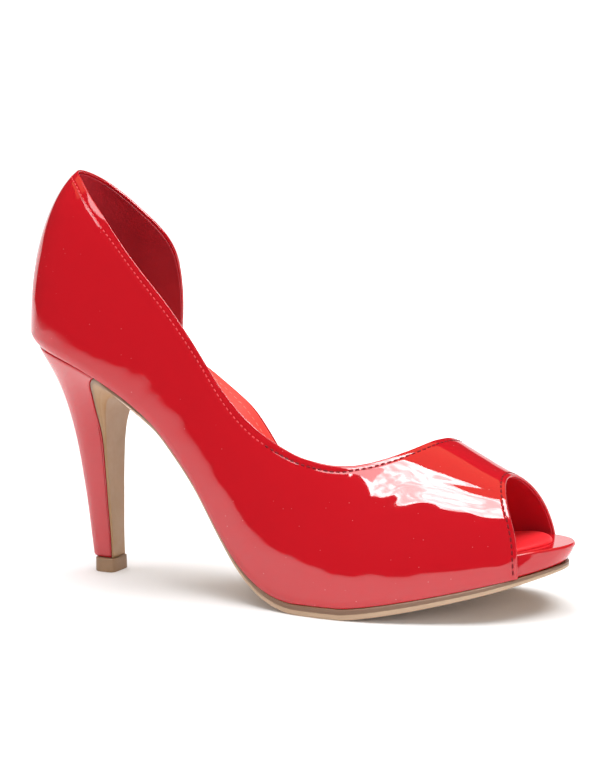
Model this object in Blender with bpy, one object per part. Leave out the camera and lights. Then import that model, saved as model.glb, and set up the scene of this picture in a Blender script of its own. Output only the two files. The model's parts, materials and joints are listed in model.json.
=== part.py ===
"""Peep toe pump, right shoe, with a tall covered heel, a hidden platform and an open medial side.

Metres. +X runs to the toe, +Y to the medial side, +Z up. The origin is the centre of the top
piece's floor face. Every solid follows one last: a plan outline, a side profile and a crown,
each a short table of shares of the sizes below.
"""
import bmesh
import bpy
import numpy as np

# Named sizes of the last
LENGTH = 0.2185
BALL_WIDTH = 0.078
SEAT_HEIGHT = 0.092
BACK_X = -0.0288
TOE_SPRING = 0.0168
AXIS_X = 0.0022
AXIS_BLEND = 0.014

INSTEP_HEIGHT = 0.070
AXIS_END = 0.012

# Thicknesses and gaps
UPPER_WALL = 0.0016
INSOLE_THICK = 0.0009
SOLE_EDGE = 0.0037
PLATFORM_HEIGHT = 0.0103
GAP = 0.0003
SOLE_MARGIN = 0.0007
TOE_INSET = 0.0052
WAIST_INSET = 0.0006

# How the upper turns in at its foot, and how far at most
TUCK_DEPTH = 0.0022
TUCK_HEIGHT = 0.0040
FOOT_STEP = 0.0004

# Insets of the platform and of the sock from the upper's inner face
BED_INSET = 0.0030
BEVEL_INSET = 0.0015
BEVEL_DROP = 0.0007
FOOT_INSET = 0.0004
TOE_REACH = 0.0018
TOE_UNDERCUT = 0.0034
SOCK_TOE = 0.0060

# Heel, flap and top piece
BREAST_X = 0.0103
SEAT_BACK = 0.0290
SEAT_HALF = 0.0256
FLAP_REACH = 0.0200
TURN_X = 0.0255
TURN_END = 0.0450
TOP_PIECE_HEIGHT = 0.0053
TIP_CENTRE = 0.0007
TIP_HALF_LONG = 0.0050
TIP_HALF_WIDE = 0.0060

# How far the waist of each surface runs ahead on the medial side
SOLE_TWIST = 0.008
BED_TWIST = 0.023

# Plan outline from the back, lateral side to the toe, then back along the medial side.
# Columns: share of length, share of ball width
OUTLINE = (
    (0.000, 0.000), (0.045, -0.235), (0.140, -0.325), (0.280, -0.320), (0.420, -0.375),
    (0.560, -0.475), (0.680, -0.500), (0.800, -0.420), (0.900, -0.285), (0.965, -0.130),
    (1.000, 0.060), (0.965, 0.260), (0.900, 0.392), (0.800, 0.460), (0.680, 0.470),
    (0.560, 0.350), (0.420, 0.225), (0.280, 0.270), (0.140, 0.320), (0.045, 0.235),
)
TOE_ROW = 10

# Underside of the outsole behind the ball. Columns: share of length, share of seat height
RISE = (
    (-0.05, 1.000), (0.000, 0.975), (0.137, 0.883), (0.252, 0.732), (0.305, 0.630),
    (0.339, 0.541), (0.375, 0.436), (0.414, 0.300), (0.462, 0.150), (0.510, 0.055),
    (0.560, 0.008), (0.585, 0.000), (0.600, 0.000),
)
FLAT_FROM = 0.585
FLAT_TO = 0.670

# Thickness of the outsole and of the platform. Columns: share of length, share of the thickest
SOLE_THICK = ((0.00, 0.54), (0.30, 0.54), (0.46, 0.76), (0.60, 1.00), (0.80, 0.93), (0.92, 0.72), (1.00, 0.54))
PLATFORM_THICK = (
    (0.00, 0.24), (0.36, 0.34), (0.46, 0.53), (0.56, 0.85), (0.66, 1.00),
    (0.80, 0.98), (0.93, 0.83), (1.00, 0.60),
)

# Height of the last's crown above the feather line, and how far it leans to the medial side.
# Columns: share of length, share of instep height; share of length, share of ball width
CROWN = (
    (0.00, 0.936), (0.14, 0.957), (0.30, 1.000), (0.45, 1.000), (0.60, 0.964),
    (0.70, 0.871), (0.80, 0.689), (0.87, 0.529), (0.93, 0.407), (1.00, 0.257),
)
LEAN = ((0.00, 0.00), (0.35, 0.00), (0.55, 0.02), (0.70, 0.02), (0.85, -0.02), (1.00, -0.05))
ROUNDNESS = 0.90

# How far the foot of the upper turns in. Columns: outline station on either side, share of the depth
TUCK = ((0.00, 1.00), (0.12, 0.92), (0.22, 0.62), (0.32, 0.45), (0.50, 0.34), (0.70, 0.26), (0.82, 0.00), (1.00, 0.00))

# Edge of the peep opening. Columns: angle over the vamp in degrees, outline station
PEEP_EDGE = (
    (0, 0.875), (13, 0.873), (26, 0.869), (41, 0.858), (54, 0.845), (68, 0.832), (80, 0.823),
    (93, 0.819), (106, 0.822), (120, 0.833), (138, 0.848), (152, 0.857), (165, 0.863), (180, 0.866),
)
WING_END = -0.262
PEEP_START = 0.58
PEEP_STOP = 0.86
VAMP_END = 0.50

# Upper edge of the upper. Columns: share of the run from wing to vamp, outline station, degrees
TOPLINE = (
    (0.000, -0.261, 14.0), (0.012, -0.266, 24.0), (0.025, -0.268, 34.0), (0.040, -0.264, 45.0),
    (0.060, -0.243, 55.0), (0.085, -0.205, 63.0), (0.115, -0.150, 67.6), (0.150, -0.070, 70.0),
    (0.180, 0.000, 70.8), (0.215, 0.070, 70.8), (0.250, 0.137, 68.6), (0.280, 0.200, 61.0),
    (0.310, 0.250, 51.2), (0.335, 0.290, 45.4), (0.370, 0.345, 43.0), (0.400, 0.395, 43.5),
    (0.430, 0.440, 47.0), (0.460, 0.485, 48.9), (0.500, 0.540, 47.9), (0.540, 0.585, 47.6),
    (0.580, 0.621, 50.6), (0.620, 0.650, 55.4), (0.650, 0.673, 62.0), (0.675, 0.692, 71.5),
    (0.700, 0.704, 84.0), (0.730, 0.709, 98.0), (0.760, 0.704, 116.0), (0.790, 0.688, 133.0),
    (0.830, 0.655, 148.0), (0.870, 0.614, 159.0), (0.910, 0.570, 167.0), (0.950, 0.533, 171.5),
    (1.000, 0.500, 174.0),
)

# Heel between the top piece and the seat. Columns: share of height, back x as a share of the seat's,
# breast x as a share of the seat's, half width as a share of the seat's
HEEL_LEVELS = (
    (0.00, -0.210, 0.369, 0.172), (0.12, -0.252, 0.359, 0.180), (0.25, -0.293, 0.330, 0.205),
    (0.38, -0.348, 0.311, 0.232), (0.52, -0.417, 0.301, 0.270), (0.65, -0.510, 0.262, 0.320),
    (0.77, -0.621, 0.214, 0.445), (0.87, -0.745, 0.340, 0.630), (0.94, -0.862, 0.560, 0.800),
    (1.00, -0.945, 1.000, 0.960),
)

# Flap of the outsole down the breast. Columns: share of the flap, share of height at its back,
# front x as a share of its reach, share of height at its front
FLAP = (
    (0.00, 0.970, 1.060, 0.878), (0.08, 0.930, 0.850, 0.893), (0.16, 0.880, 0.640, 0.888),
    (0.24, 0.820, 0.465, 0.862), (0.34, 0.750, 0.335, 0.810), (0.46, 0.640, 0.250, 0.700),
    (0.60, 0.490, 0.222, 0.530), (0.75, 0.320, 0.230, 0.340), (0.88, 0.150, 0.240, 0.160),
    (1.00, 0.000, 0.248, 0.000),
)

RED_PATENT = (0.60, 0.012, 0.022, 1.0)
RED_WRAP = (0.58, 0.012, 0.022, 1.0)
CORAL = (0.90, 0.090, 0.075, 1.0)
TAN = (0.38, 0.235, 0.130, 1.0)
TIP_TAN = (0.33, 0.200, 0.110, 1.0)


def slopes(knots, values):
    """Slopes of a natural cubic spline at its knots."""
    count = len(knots)
    step = np.diff(knots)
    rise = np.diff(values, axis=0) / (step[:, None] if values.ndim > 1 else step)
    matrix = np.zeros((count, count))
    right = np.zeros_like(values)
    for i in range(1, count - 1):
        matrix[i, i - 1] = step[i]
        matrix[i, i] = 2.0 * (step[i - 1] + step[i])
        matrix[i, i + 1] = step[i - 1]
        right[i] = 3.0 * (step[i] * rise[i - 1] + step[i - 1] * rise[i])
    matrix[0, :2] = (2.0, 1.0)
    right[0] = 3.0 * rise[0]
    matrix[-1, -2:] = (1.0, 2.0)
    right[-1] = 3.0 * rise[-1]
    return np.linalg.solve(matrix, right)


def spline(knots, values, at):
    """Cubic curve through the knots, read at the given places."""
    knots = np.asarray(knots, float)
    values = np.asarray(values, float)
    at = np.clip(np.asarray(at, float), knots[0], knots[-1])
    slope = slopes(knots, values)
    i = np.clip(np.searchsorted(knots, at, side="right") - 1, 0, len(knots) - 2)
    h = knots[i + 1] - knots[i]
    s = (at - knots[i]) / h
    if values.ndim > 1:
        h = h[..., None]
        s = s[..., None]
    start = (1 + 2 * s) * (1 - s) ** 2 * values[i] + s * (1 - s) ** 2 * h * slope[i]
    return start + s * s * (3 - 2 * s) * values[i + 1] + s * s * (s - 1) * h * slope[i + 1]


def read(table, at, column=1):
    """A table's column as a smooth curve over its first column."""
    rows = np.array(table, float)
    return spline(rows[:, 0], rows[:, column], at)


def smooth(low, high, at):
    """Soft step from 0 at low to 1 at high."""
    u = np.clip((np.asarray(at, float) - low) / (high - low), 0.0, 1.0)
    return u * u * (3 - 2 * u)


def closed_outline():
    """Knots and corner points of the outline, repeated so that the spline closes smoothly."""
    rows = np.array(OUTLINE + OUTLINE[:1], float) * (LENGTH, BALL_WIDTH)
    span = np.sqrt(np.linalg.norm(np.diff(rows, axis=0), axis=1))
    run = np.concatenate([[0.0], np.cumsum(span)])
    knots = np.concatenate([run[:-1] - run[-1], run[:-1], run + run[-1]])
    return knots, np.vstack([rows[:-1], rows[:-1], rows]), run


OUTLINE_KNOTS, OUTLINE_ROWS, OUTLINE_RUN = closed_outline()


def outline(t, out=0.0):
    """Plan outline: 0 at the back, up to 1 at the toe laterally and -1 medially, moved out."""
    t = np.asarray(t, float)

    def place(at):
        run = np.where(at >= 0, at * OUTLINE_RUN[TOE_ROW], at * (OUTLINE_RUN[-1] - OUTLINE_RUN[TOE_ROW]))
        return spline(OUTLINE_KNOTS, OUTLINE_ROWS, run)

    here = place(t)
    along = place(t + 0.002) - place(t - 0.002)
    along = along / np.linalg.norm(along, axis=-1, keepdims=True)
    x = here[..., 0] + BACK_X + out * along[..., 1]
    y = here[..., 1] - out * along[..., 0]
    return x, y


SIDE_T = np.linspace(0.0, 1.0, 400)
LATERAL = outline(SIDE_T)
MEDIAL = outline(-SIDE_T)


def half_width(x, medial):
    """The feather's y at x on one side."""
    side = MEDIAL if medial else LATERAL
    return np.interp(x, side[0], side[1])


COLUMNS = 10
EVEN = np.linspace(0.0, 1.0, 54)
STATIONS = 0.6 * EVEN + 0.2 * (1 - np.cos(np.pi * EVEN))


def share(x):
    """Share of the length at x."""
    return (np.asarray(x, float) - BACK_X) / LENGTH


def profile(x):
    """Underside of the outsole along its middle: rise, flat spot and toe spring."""
    s = share(x)
    rear = np.where(s > FLAT_FROM, 0.0, np.maximum(SEAT_HEIGHT * read(RISE, s), 0.0))
    front = np.clip((s - FLAT_TO) / (1 - FLAT_TO), 0.0, 1.2)
    return rear + TOE_SPRING * front ** 1.25


def twisted(x, y, twist):
    """x moved back on the medial side of the waist, which lifts that side."""
    side = smooth(-0.32 * BALL_WIDTH, 0.32 * BALL_WIDTH, y)
    s = share(x)
    window = smooth(0.155, 0.292, s) * (1.0 - smooth(0.383, 0.576, s))
    return x - twist * side * window


def sole_under(x, y):
    """Underside of the outsole."""
    return profile(twisted(x, y, SOLE_TWIST))


def sole_top(x, y):
    """Top of the outsole and of the heel's seat, where the upper ends."""
    at = twisted(x, y, SOLE_TWIST)
    return profile(at) + SOLE_EDGE * read(SOLE_THICK, share(x))


def bed(x, y):
    """Top of the wrapped platform, which carries on as the insole board."""
    at = twisted(x, y, BED_TWIST)
    return profile(at) + SOLE_EDGE * read(SOLE_THICK, share(x)) + PLATFORM_HEIGHT * read(PLATFORM_THICK, share(x))


def tuck(t, degrees):
    """How far the upper turns in near its foot, in a round bend."""
    rise = INSTEP_HEIGHT * np.sin(np.radians(degrees)) / TUCK_HEIGHT
    low = 1.0 - np.clip(rise, 0.0, 1.0)
    return TUCK_DEPTH * np.maximum(read(TUCK, np.abs(t)), 0.0) * low ** 2


def last(t, degrees):
    """Point of the last at an outline station and an angle over the foot."""
    px, py = outline(t, -tuck(t, degrees))
    ax = (px + AXIS_X + np.sqrt((px - AXIS_X) ** 2 + AXIS_BLEND ** 2)) / 2
    wide = 1.0 - smooth(0.0, AXIS_END, ax - px)
    s = share(ax)
    middle = wide * (half_width(px, True) + half_width(px, False)) / 2
    phi = np.radians(degrees)
    across = np.sign(np.cos(phi)) * np.abs(np.cos(phi)) ** ROUNDNESS
    up = np.sin(phi)
    x = ax + (px - ax) * across
    y = middle + (py - middle) * across + wide * BALL_WIDTH * read(LEAN, s) * up ** 2
    z = sole_top(px, y) + INSTEP_HEIGHT * read(CROWN, s) * up
    return np.stack([x, y, z], axis=-1)


def low_edge(p):
    """Lower edge of the upper: medial wing, heel, lateral side, peep opening, medial vamp."""
    p = np.asarray(p, float)
    side = WING_END + (PEEP_EDGE[0][1] - WING_END) * np.clip(p / PEEP_START, 0, 1)
    angle = 180.0 * np.clip((p - PEEP_START) / (PEEP_STOP - PEEP_START), 0, 1)
    rim = read(PEEP_EDGE, angle)
    back = PEEP_EDGE[-1][1] + (VAMP_END - PEEP_EDGE[-1][1]) * np.clip((p - PEEP_STOP) / (1 - PEEP_STOP), 0, 1)
    t = np.where(p < PEEP_START, side, np.where(p < PEEP_STOP, rim, back))
    return t, angle


def upper_middle(p, v):
    """Middle of the upper's wall between its lower edge, v 0, and its topline, v 1."""
    low_t, low_angle = low_edge(p)
    t = low_t + (read(TOPLINE, p, 1) - low_t) * v
    degrees = low_angle + (read(TOPLINE, p, 2) - low_angle) * v
    return last(t, degrees)


def normals(points):
    """Unit normals of a grid of points."""
    along = np.gradient(points, axis=0)
    across = np.gradient(points, axis=1)
    normal = np.cross(along, across)
    return normal / np.maximum(np.linalg.norm(normal, axis=-1, keepdims=True), 1e-12)


def material(name, colour, roughness, metallic=0.0):
    """Principled material of one node."""
    made = bpy.data.materials.new(name)
    made.use_nodes = True
    shader = made.node_tree.nodes["Principled BSDF"]
    shader.inputs["Base Color"].default_value = colour
    shader.inputs["Roughness"].default_value = roughness
    shader.inputs["Metallic"].default_value = metallic
    made.diffuse_color = colour
    return made


def add_solid(name, vertices, faces, finish):
    """One closed mesh object, merged, without empty faces, facing out."""
    mesh = bpy.data.meshes.new(name)
    mesh.from_pydata([tuple(v) for v in vertices], [], faces)
    work = bmesh.new()
    work.from_mesh(mesh)
    bmesh.ops.remove_doubles(work, verts=work.verts, dist=2e-6)
    bmesh.ops.dissolve_degenerate(work, dist=1e-6, edges=work.edges)
    bmesh.ops.triangulate(work, faces=work.faces)
    bmesh.ops.recalc_face_normals(work, faces=work.faces)
    work.to_mesh(mesh)
    work.free()
    mesh.materials.append(finish)
    made = bpy.data.objects.new(name, mesh)
    bpy.context.scene.collection.objects.link(made)
    return made


def closed_grid(top, under):
    """Vertices and faces of the body between two grids of the same size, sides included."""
    rows, columns = top.shape[:2]
    count = rows * columns
    vertices = np.concatenate([top.reshape(-1, 3), under.reshape(-1, 3)])
    index = np.arange(count).reshape(rows, columns)
    a, b, c, d = index[:-1, :-1], index[1:, :-1], index[1:, 1:], index[:-1, 1:]
    upper = np.stack([a, b, c, d], -1).reshape(-1, 4)
    lower = upper[:, ::-1] + count
    ring = np.concatenate([index[0, :-1], index[:-1, -1], index[-1, :0:-1], index[:0:-1, 0]])
    after = np.roll(ring, -1)
    sides = np.stack([ring, after, after + count, ring + count], -1)
    return vertices, np.concatenate([upper, lower, sides]).tolist()


def chords(stations, columns, inset):
    """Plan grid of straight lines between the two sides of the outline, and its x and y."""
    lateral = outline(stations, -inset)
    medial = outline(-stations, -inset)
    u = np.linspace(0.0, 1.0, columns)[None, :]
    u = (1 - np.cos(np.pi * u)) / 2
    x = lateral[0][:, None] * (1 - u) + medial[0][:, None] * u
    y = lateral[1][:, None] * (1 - u) + medial[1][:, None] * u
    return x, y


def border(grid):
    """Points round the edge of a grid, in one closed run."""
    return np.concatenate([grid[0, :-1], grid[:-1, -1], grid[-1, :0:-1], grid[:0:-1, 0]])


def slab(name, layers, finish, columns=COLUMNS):
    """Layer with the shoe's outline: rings of (inset, height function) from its top to its underside."""
    stations = STATIONS
    rows = len(stations)
    grids = []
    for inset, height in layers:
        x, y = chords(stations, columns, inset)
        grids.append(np.stack([x, y, height(x, y)], -1))
    count = rows * columns
    index = np.arange(count).reshape(rows, columns)
    a, b, c, d = index[:-1, :-1], index[1:, :-1], index[1:, 1:], index[:-1, 1:]
    upper = np.stack([a, b, c, d], -1).reshape(-1, 4)
    rings = [border(index)]
    vertices = [grids[0].reshape(-1, 3), grids[-1].reshape(-1, 3)]
    size = 2 * count
    for grid in grids[1:-1]:
        edge = border(grid)
        vertices.append(edge)
        rings.append(np.arange(len(edge)) + size)
        size += len(edge)
    rings.append(border(index) + count)
    sides = [
        np.stack([one, np.roll(one, -1), np.roll(two, -1), two], -1)
        for one, two in zip(rings[:-1], rings[1:])
    ]
    faces = np.concatenate([upper, upper[:, ::-1] + count] + sides).tolist()
    return add_solid(name, np.concatenate(vertices), faces, finish)


def build_upper(finish):
    """Hollow upper: wing, counter, lateral quarter and vamp in one wall."""
    p = np.concatenate([
        np.linspace(0.0, 0.06, 9)[:-1], np.linspace(0.06, 0.32, 20)[:-1], np.linspace(0.32, PEEP_START, 22)[:-1],
        np.linspace(PEEP_START, PEEP_STOP, 34)[:-1], np.linspace(PEEP_STOP, 1.0, 13),
    ])[:, None]
    v = np.array([0.0, 0.022, 0.055, 0.13, 0.25, 0.39, 0.54, 0.69, 0.84, 1.0])[None, :]
    middle = upper_middle(p, v)
    normal = normals(middle)
    outer = middle - normal * UPPER_WALL / 2
    inner = middle + normal * UPPER_WALL / 2
    flat = (p[:, 0] <= PEEP_START) | (p[:, 0] >= PEEP_STOP)
    for shell in (outer, inner):
        wall = shell[flat]
        foot = sole_top(wall[..., 0], wall[..., 1]) + GAP
        wall[..., 2] = np.maximum(wall[..., 2], foot + FOOT_STEP)
        wall[:, 0, 2] = foot[:, 0]
        shell[flat] = wall
    vertices, faces = closed_grid(outer, inner)
    return add_solid("upper", vertices, faces, finish)


def seat_ring(count):
    """The heel's seat from the lateral breast corner round the back to the medial one."""
    first = np.interp(BREAST_X, LATERAL[0], SIDE_T)
    second = -np.interp(BREAST_X, MEDIAL[0], SIDE_T)
    t = np.linspace(first, second, count)
    return outline(t, UPPER_WALL / 2 - tuck(t, 0.0))


def build_heel(finish, count=21):
    """Slim covered heel with a flat breast, from the top piece up to the seat."""
    ring_x, ring_y = seat_ring(count)
    ring_x[[0, -1]] = BREAST_X
    shape_x = (ring_x - BREAST_X) / (BREAST_X - ring_x.min())
    shape_y = ring_y / np.abs(ring_y).max()
    levels = np.linspace(0.0, 1.0, 18)
    back = SEAT_BACK * read(HEEL_LEVELS, levels, 1)[:, None]
    breast = BREAST_X * read(HEEL_LEVELS, levels, 2)[:, None]
    half = SEAT_HALF * read(HEEL_LEVELS, levels, 3)[:, None]
    x = breast + (breast - back) * shape_x[None, :]
    y = half * shape_y[None, :]
    x[-1] = ring_x
    y[-1] = ring_y
    base = TOP_PIECE_HEIGHT + GAP
    z = base + (sole_top(x, y) - base) * levels[:, None]
    rings = np.stack([x, y, z], -1)
    inner = rings.copy()
    inner[:, :, 0] = breast
    inner[-1, :, 0] = BREAST_X
    even = np.linspace(0.0, 1.0, count)[None, :]
    inner[:, :, 1] = y[:, :1] * (1 - even) + y[:, -1:] * even
    inner[:, :, 2] = base + (sole_top(inner[..., 0], inner[..., 1]) - base) * levels[:, None]
    vertices, faces = closed_grid(rings, inner)
    return add_solid("heel", vertices, faces, finish)


def build_outsole(finish):
    """Leather outsole whose rear end turns down the heel's breast as a flap."""
    u = (1 - np.cos(np.pi * np.linspace(0.0, 1.0, COLUMNS))) / 2
    end_lateral = np.interp(BREAST_X + GAP, LATERAL[0], SIDE_T)
    end_medial = np.interp(BREAST_X + GAP, MEDIAL[0], SIDE_T)
    ahead = STATIONS[STATIONS > max(end_lateral, end_medial) + 0.01]
    stations_l = np.concatenate([[end_lateral], ahead])
    stations_m = np.concatenate([[end_medial], ahead])
    margin = UPPER_WALL / 2 - tuck(stations_l, 0.0) + SOLE_MARGIN * smooth(0.36, 0.56, stations_l)
    margin = margin - WAIST_INSET * smooth(0.20, 0.30, stations_l) * (1 - smooth(0.40, 0.58, stations_l))
    margin = margin - TOE_INSET * smooth(0.80, 1.0, stations_l)
    lx, ly = outline(stations_l, margin)
    mx, my = outline(-stations_m, margin)
    x = lx[:, None] * (1 - u) + mx[:, None] * u
    y = ly[:, None] * (1 - u) + my[:, None] * u
    top = np.stack([x, y, sole_top(x, y)], -1)
    shift = (TURN_X - BREAST_X) * (1 - smooth(BREAST_X, TURN_END, x))
    under = np.stack([x + shift, y, sole_under(x + shift, y)], -1)
    down = np.linspace(0.0, 1.0, 17)[:, None]
    behind = read(FLAP, down, 1)
    y_flap = SEAT_HALF * read(HEEL_LEVELS, behind, 3) * (2 * u[None, :] - 1)
    base = TOP_PIECE_HEIGHT + GAP
    rise = sole_top(BREAST_X, 0.0) - base
    across = 0 * y_flap
    corner_x = BREAST_X * read(HEEL_LEVELS, behind, 2) + GAP + across
    corner = np.stack([corner_x, y_flap, base + rise * behind + across], -1)
    front_x = FLAP_REACH * read(FLAP, down, 2) + across
    front = np.stack([front_x, y_flap, base + rise * read(FLAP, down, 3) + across], -1)
    top_grid = np.concatenate([top[::-1], corner])
    under_grid = np.concatenate([under[::-1], front])
    vertices, faces = closed_grid(top_grid, under_grid)
    return add_solid("outsole", vertices, faces, finish)


def build_top_piece(finish, count=40):
    """Small hard tip under the heel and the flap, with a D-shaped floor face."""
    turn = np.linspace(0.0, 2 * np.pi, count, endpoint=False)
    power = np.where(np.cos(turn) > 0, 0.35, 0.85)
    x = TIP_HALF_LONG * np.sign(np.cos(turn)) * np.abs(np.cos(turn)) ** power
    y = TIP_HALF_WIDE * np.sign(np.sin(turn)) * np.abs(np.sin(turn)) ** power
    low = np.stack([x + TIP_CENTRE, y, 0 * x], -1)
    high = np.stack([x * 0.985 + TIP_CENTRE, y * 0.985, 0 * x + TOP_PIECE_HEIGHT], -1)
    vertices = np.concatenate([low, high])
    faces = [list(range(count))[::-1], list(range(count, 2 * count))]
    faces += [[i, (i + 1) % count, (i + 1) % count + count, i + count] for i in range(count)]
    return add_solid("top_piece", vertices, faces, finish)


def main():
    """Clear the file and build the six solids."""
    for old in list(bpy.data.objects):
        bpy.data.objects.remove(old, do_unlink=True)
    build_upper(material("upper", RED_PATENT, 0.10))
    t = STATIONS
    inner = UPPER_WALL / 2 + tuck(t, 0.0)
    toe = smooth(0.86, 0.95, t)
    top_inset = UPPER_WALL / 2 + BED_INSET - TOE_REACH * toe
    slab(
        "platform",
        [
            (top_inset, bed),
            (UPPER_WALL / 2 + BEVEL_INSET - (BEVEL_INSET - FOOT_INSET) * toe, lambda x, y: bed(x, y) - BEVEL_DROP),
            (inner + FOOT_INSET + TOE_UNDERCUT * smooth(0.86, 1.0, t), lambda x, y: sole_top(x, y) + GAP),
        ],
        material("platform", RED_WRAP, 0.12),
    )
    sock_inset = UPPER_WALL / 2 + BED_INSET + SOCK_TOE * smooth(0.80, 1.0, t)
    slab(
        "insole",
        [
            (sock_inset, lambda x, y: bed(x, y) + GAP + INSOLE_THICK),
            (sock_inset, lambda x, y: bed(x, y) + GAP),
        ],
        material("insole", CORAL, 0.45),
    )
    build_outsole(material("outsole", TAN, 0.5))
    build_heel(material("heel", RED_PATENT, 0.10))
    build_top_piece(material("top_piece", TIP_TAN, 0.55))


main()
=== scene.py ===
"""Looks of a peep toe pump: patent upper, coral sock, wrapped platform, leather sole and covered heel.

Every piece is a smooth, dense surface over the same last as the shoe's solids: a plan outline,
a side profile and a crown. Metres, +X to the toe, +Y to the medial side, +Z up.
"""
import json
import logging
import math
from dataclasses import dataclass
from enum import Enum
from typing import Callable, Dict, List, Optional, Sequence, Tuple, Union

import bmesh
import bpy
import numpy as np
from mathutils import Matrix, Vector

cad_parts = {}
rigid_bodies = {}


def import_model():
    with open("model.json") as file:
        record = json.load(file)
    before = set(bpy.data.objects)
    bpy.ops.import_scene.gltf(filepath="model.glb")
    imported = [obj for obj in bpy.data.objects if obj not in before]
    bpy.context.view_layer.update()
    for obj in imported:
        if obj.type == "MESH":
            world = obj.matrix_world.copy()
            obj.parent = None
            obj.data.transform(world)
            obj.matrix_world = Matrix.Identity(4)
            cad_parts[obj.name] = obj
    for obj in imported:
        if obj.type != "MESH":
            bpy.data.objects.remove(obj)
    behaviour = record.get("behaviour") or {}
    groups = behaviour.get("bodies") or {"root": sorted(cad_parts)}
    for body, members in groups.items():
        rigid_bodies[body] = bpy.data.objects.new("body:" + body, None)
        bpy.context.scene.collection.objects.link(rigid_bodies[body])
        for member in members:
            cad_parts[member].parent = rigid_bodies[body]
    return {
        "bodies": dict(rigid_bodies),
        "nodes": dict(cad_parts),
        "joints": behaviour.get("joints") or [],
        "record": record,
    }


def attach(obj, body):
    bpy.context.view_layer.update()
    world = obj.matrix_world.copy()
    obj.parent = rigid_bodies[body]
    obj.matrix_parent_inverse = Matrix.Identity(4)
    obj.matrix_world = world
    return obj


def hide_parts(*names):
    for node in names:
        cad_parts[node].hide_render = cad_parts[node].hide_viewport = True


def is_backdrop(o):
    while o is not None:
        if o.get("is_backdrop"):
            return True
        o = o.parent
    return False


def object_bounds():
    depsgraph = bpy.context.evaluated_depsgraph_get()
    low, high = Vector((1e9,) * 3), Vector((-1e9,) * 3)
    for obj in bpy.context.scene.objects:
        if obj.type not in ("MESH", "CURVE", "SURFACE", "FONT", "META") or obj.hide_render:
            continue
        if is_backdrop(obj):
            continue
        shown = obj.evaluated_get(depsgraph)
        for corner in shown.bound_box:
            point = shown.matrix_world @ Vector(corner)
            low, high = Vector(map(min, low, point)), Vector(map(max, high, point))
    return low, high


LOG = logging.getLogger("pump")
BODY = "root"
Array = np.ndarray
Colour = Tuple[float, float, float]

# Plan outline from the back, lateral side to the toe, then back along the medial side.
# Columns: share of length, share of ball width
OUTLINE = (
    (0.000, 0.000), (0.045, -0.235), (0.140, -0.325), (0.280, -0.320), (0.420, -0.375),
    (0.560, -0.475), (0.680, -0.500), (0.800, -0.420), (0.900, -0.285), (0.965, -0.130),
    (1.000, 0.060), (0.965, 0.260), (0.900, 0.392), (0.800, 0.460), (0.680, 0.470),
    (0.560, 0.350), (0.420, 0.225), (0.280, 0.270), (0.140, 0.320), (0.045, 0.235),
)
TOE_ROW = 10

# Underside of the outsole behind the ball. Columns: share of length, share of seat height
RISE = (
    (-0.05, 1.000), (0.000, 0.975), (0.137, 0.883), (0.252, 0.732), (0.305, 0.630),
    (0.339, 0.541), (0.375, 0.436), (0.414, 0.300), (0.462, 0.150), (0.510, 0.055),
    (0.560, 0.008), (0.585, 0.000), (0.600, 0.000),
)
FLAT_FROM = 0.585
FLAT_TO = 0.670

# Thickness of the outsole and of the platform. Columns: share of length, share of the thickest
SOLE_THICK = (
    (0.00, 0.54), (0.30, 0.54), (0.46, 0.76), (0.60, 1.00), (0.80, 0.93), (0.92, 0.72),
    (1.00, 0.54),
)
PLATFORM_THICK = (
    (0.00, 0.24), (0.36, 0.34), (0.46, 0.53), (0.56, 0.85), (0.66, 1.00),
    (0.80, 0.98), (0.93, 0.83), (1.00, 0.60),
)

# Height of the last's crown above the feather line, and how far it leans to the medial side.
# Columns: share of length, share of instep height; share of length, share of ball width
CROWN = (
    (0.00, 0.936), (0.14, 0.957), (0.30, 1.000), (0.45, 1.000), (0.60, 0.964),
    (0.70, 0.871), (0.80, 0.689), (0.87, 0.529), (0.93, 0.407), (1.00, 0.257),
)
LEAN = ((0.00, 0.00), (0.35, 0.00), (0.55, 0.02), (0.70, 0.02), (0.85, -0.02), (1.00, -0.05))

# How far the foot of the upper turns in. Columns: outline station on either side, share of the depth
TUCK = (
    (0.00, 1.00), (0.12, 0.92), (0.22, 0.62), (0.32, 0.45), (0.50, 0.34), (0.70, 0.26),
    (0.82, 0.00), (1.00, 0.00),
)

# Edge of the peep opening. Columns: angle over the vamp in degrees, outline station
PEEP_EDGE = (
    (0, 0.875), (13, 0.873), (26, 0.869), (41, 0.858), (54, 0.845), (68, 0.832), (80, 0.823),
    (93, 0.819), (106, 0.822), (120, 0.833), (138, 0.848), (152, 0.857), (165, 0.863), (180, 0.866),
)
WING_END = -0.262
PEEP_START = 0.58
PEEP_STOP = 0.86
VAMP_END = 0.50

# Upper edge of the upper. Columns: share of the run from wing to vamp, outline station, degrees
TOPLINE = (
    (0.000, -0.261, 14.0), (0.012, -0.266, 24.0), (0.025, -0.268, 34.0), (0.040, -0.264, 45.0),
    (0.060, -0.243, 55.0), (0.085, -0.205, 63.0), (0.115, -0.150, 67.6), (0.150, -0.070, 70.0),
    (0.180, 0.000, 70.8), (0.215, 0.070, 70.8), (0.250, 0.137, 68.6), (0.280, 0.200, 61.0),
    (0.310, 0.250, 51.2), (0.335, 0.290, 45.4), (0.370, 0.345, 43.0), (0.400, 0.395, 43.5),
    (0.430, 0.440, 47.0), (0.460, 0.485, 48.9), (0.500, 0.540, 47.9), (0.540, 0.585, 47.6),
    (0.580, 0.621, 50.6), (0.620, 0.650, 55.4), (0.650, 0.673, 62.0), (0.675, 0.692, 71.5),
    (0.700, 0.704, 84.0), (0.730, 0.709, 98.0), (0.760, 0.704, 116.0), (0.790, 0.688, 133.0),
    (0.830, 0.655, 148.0), (0.870, 0.614, 159.0), (0.910, 0.570, 167.0), (0.950, 0.533, 171.5),
    (1.000, 0.500, 174.0),
)

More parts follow.
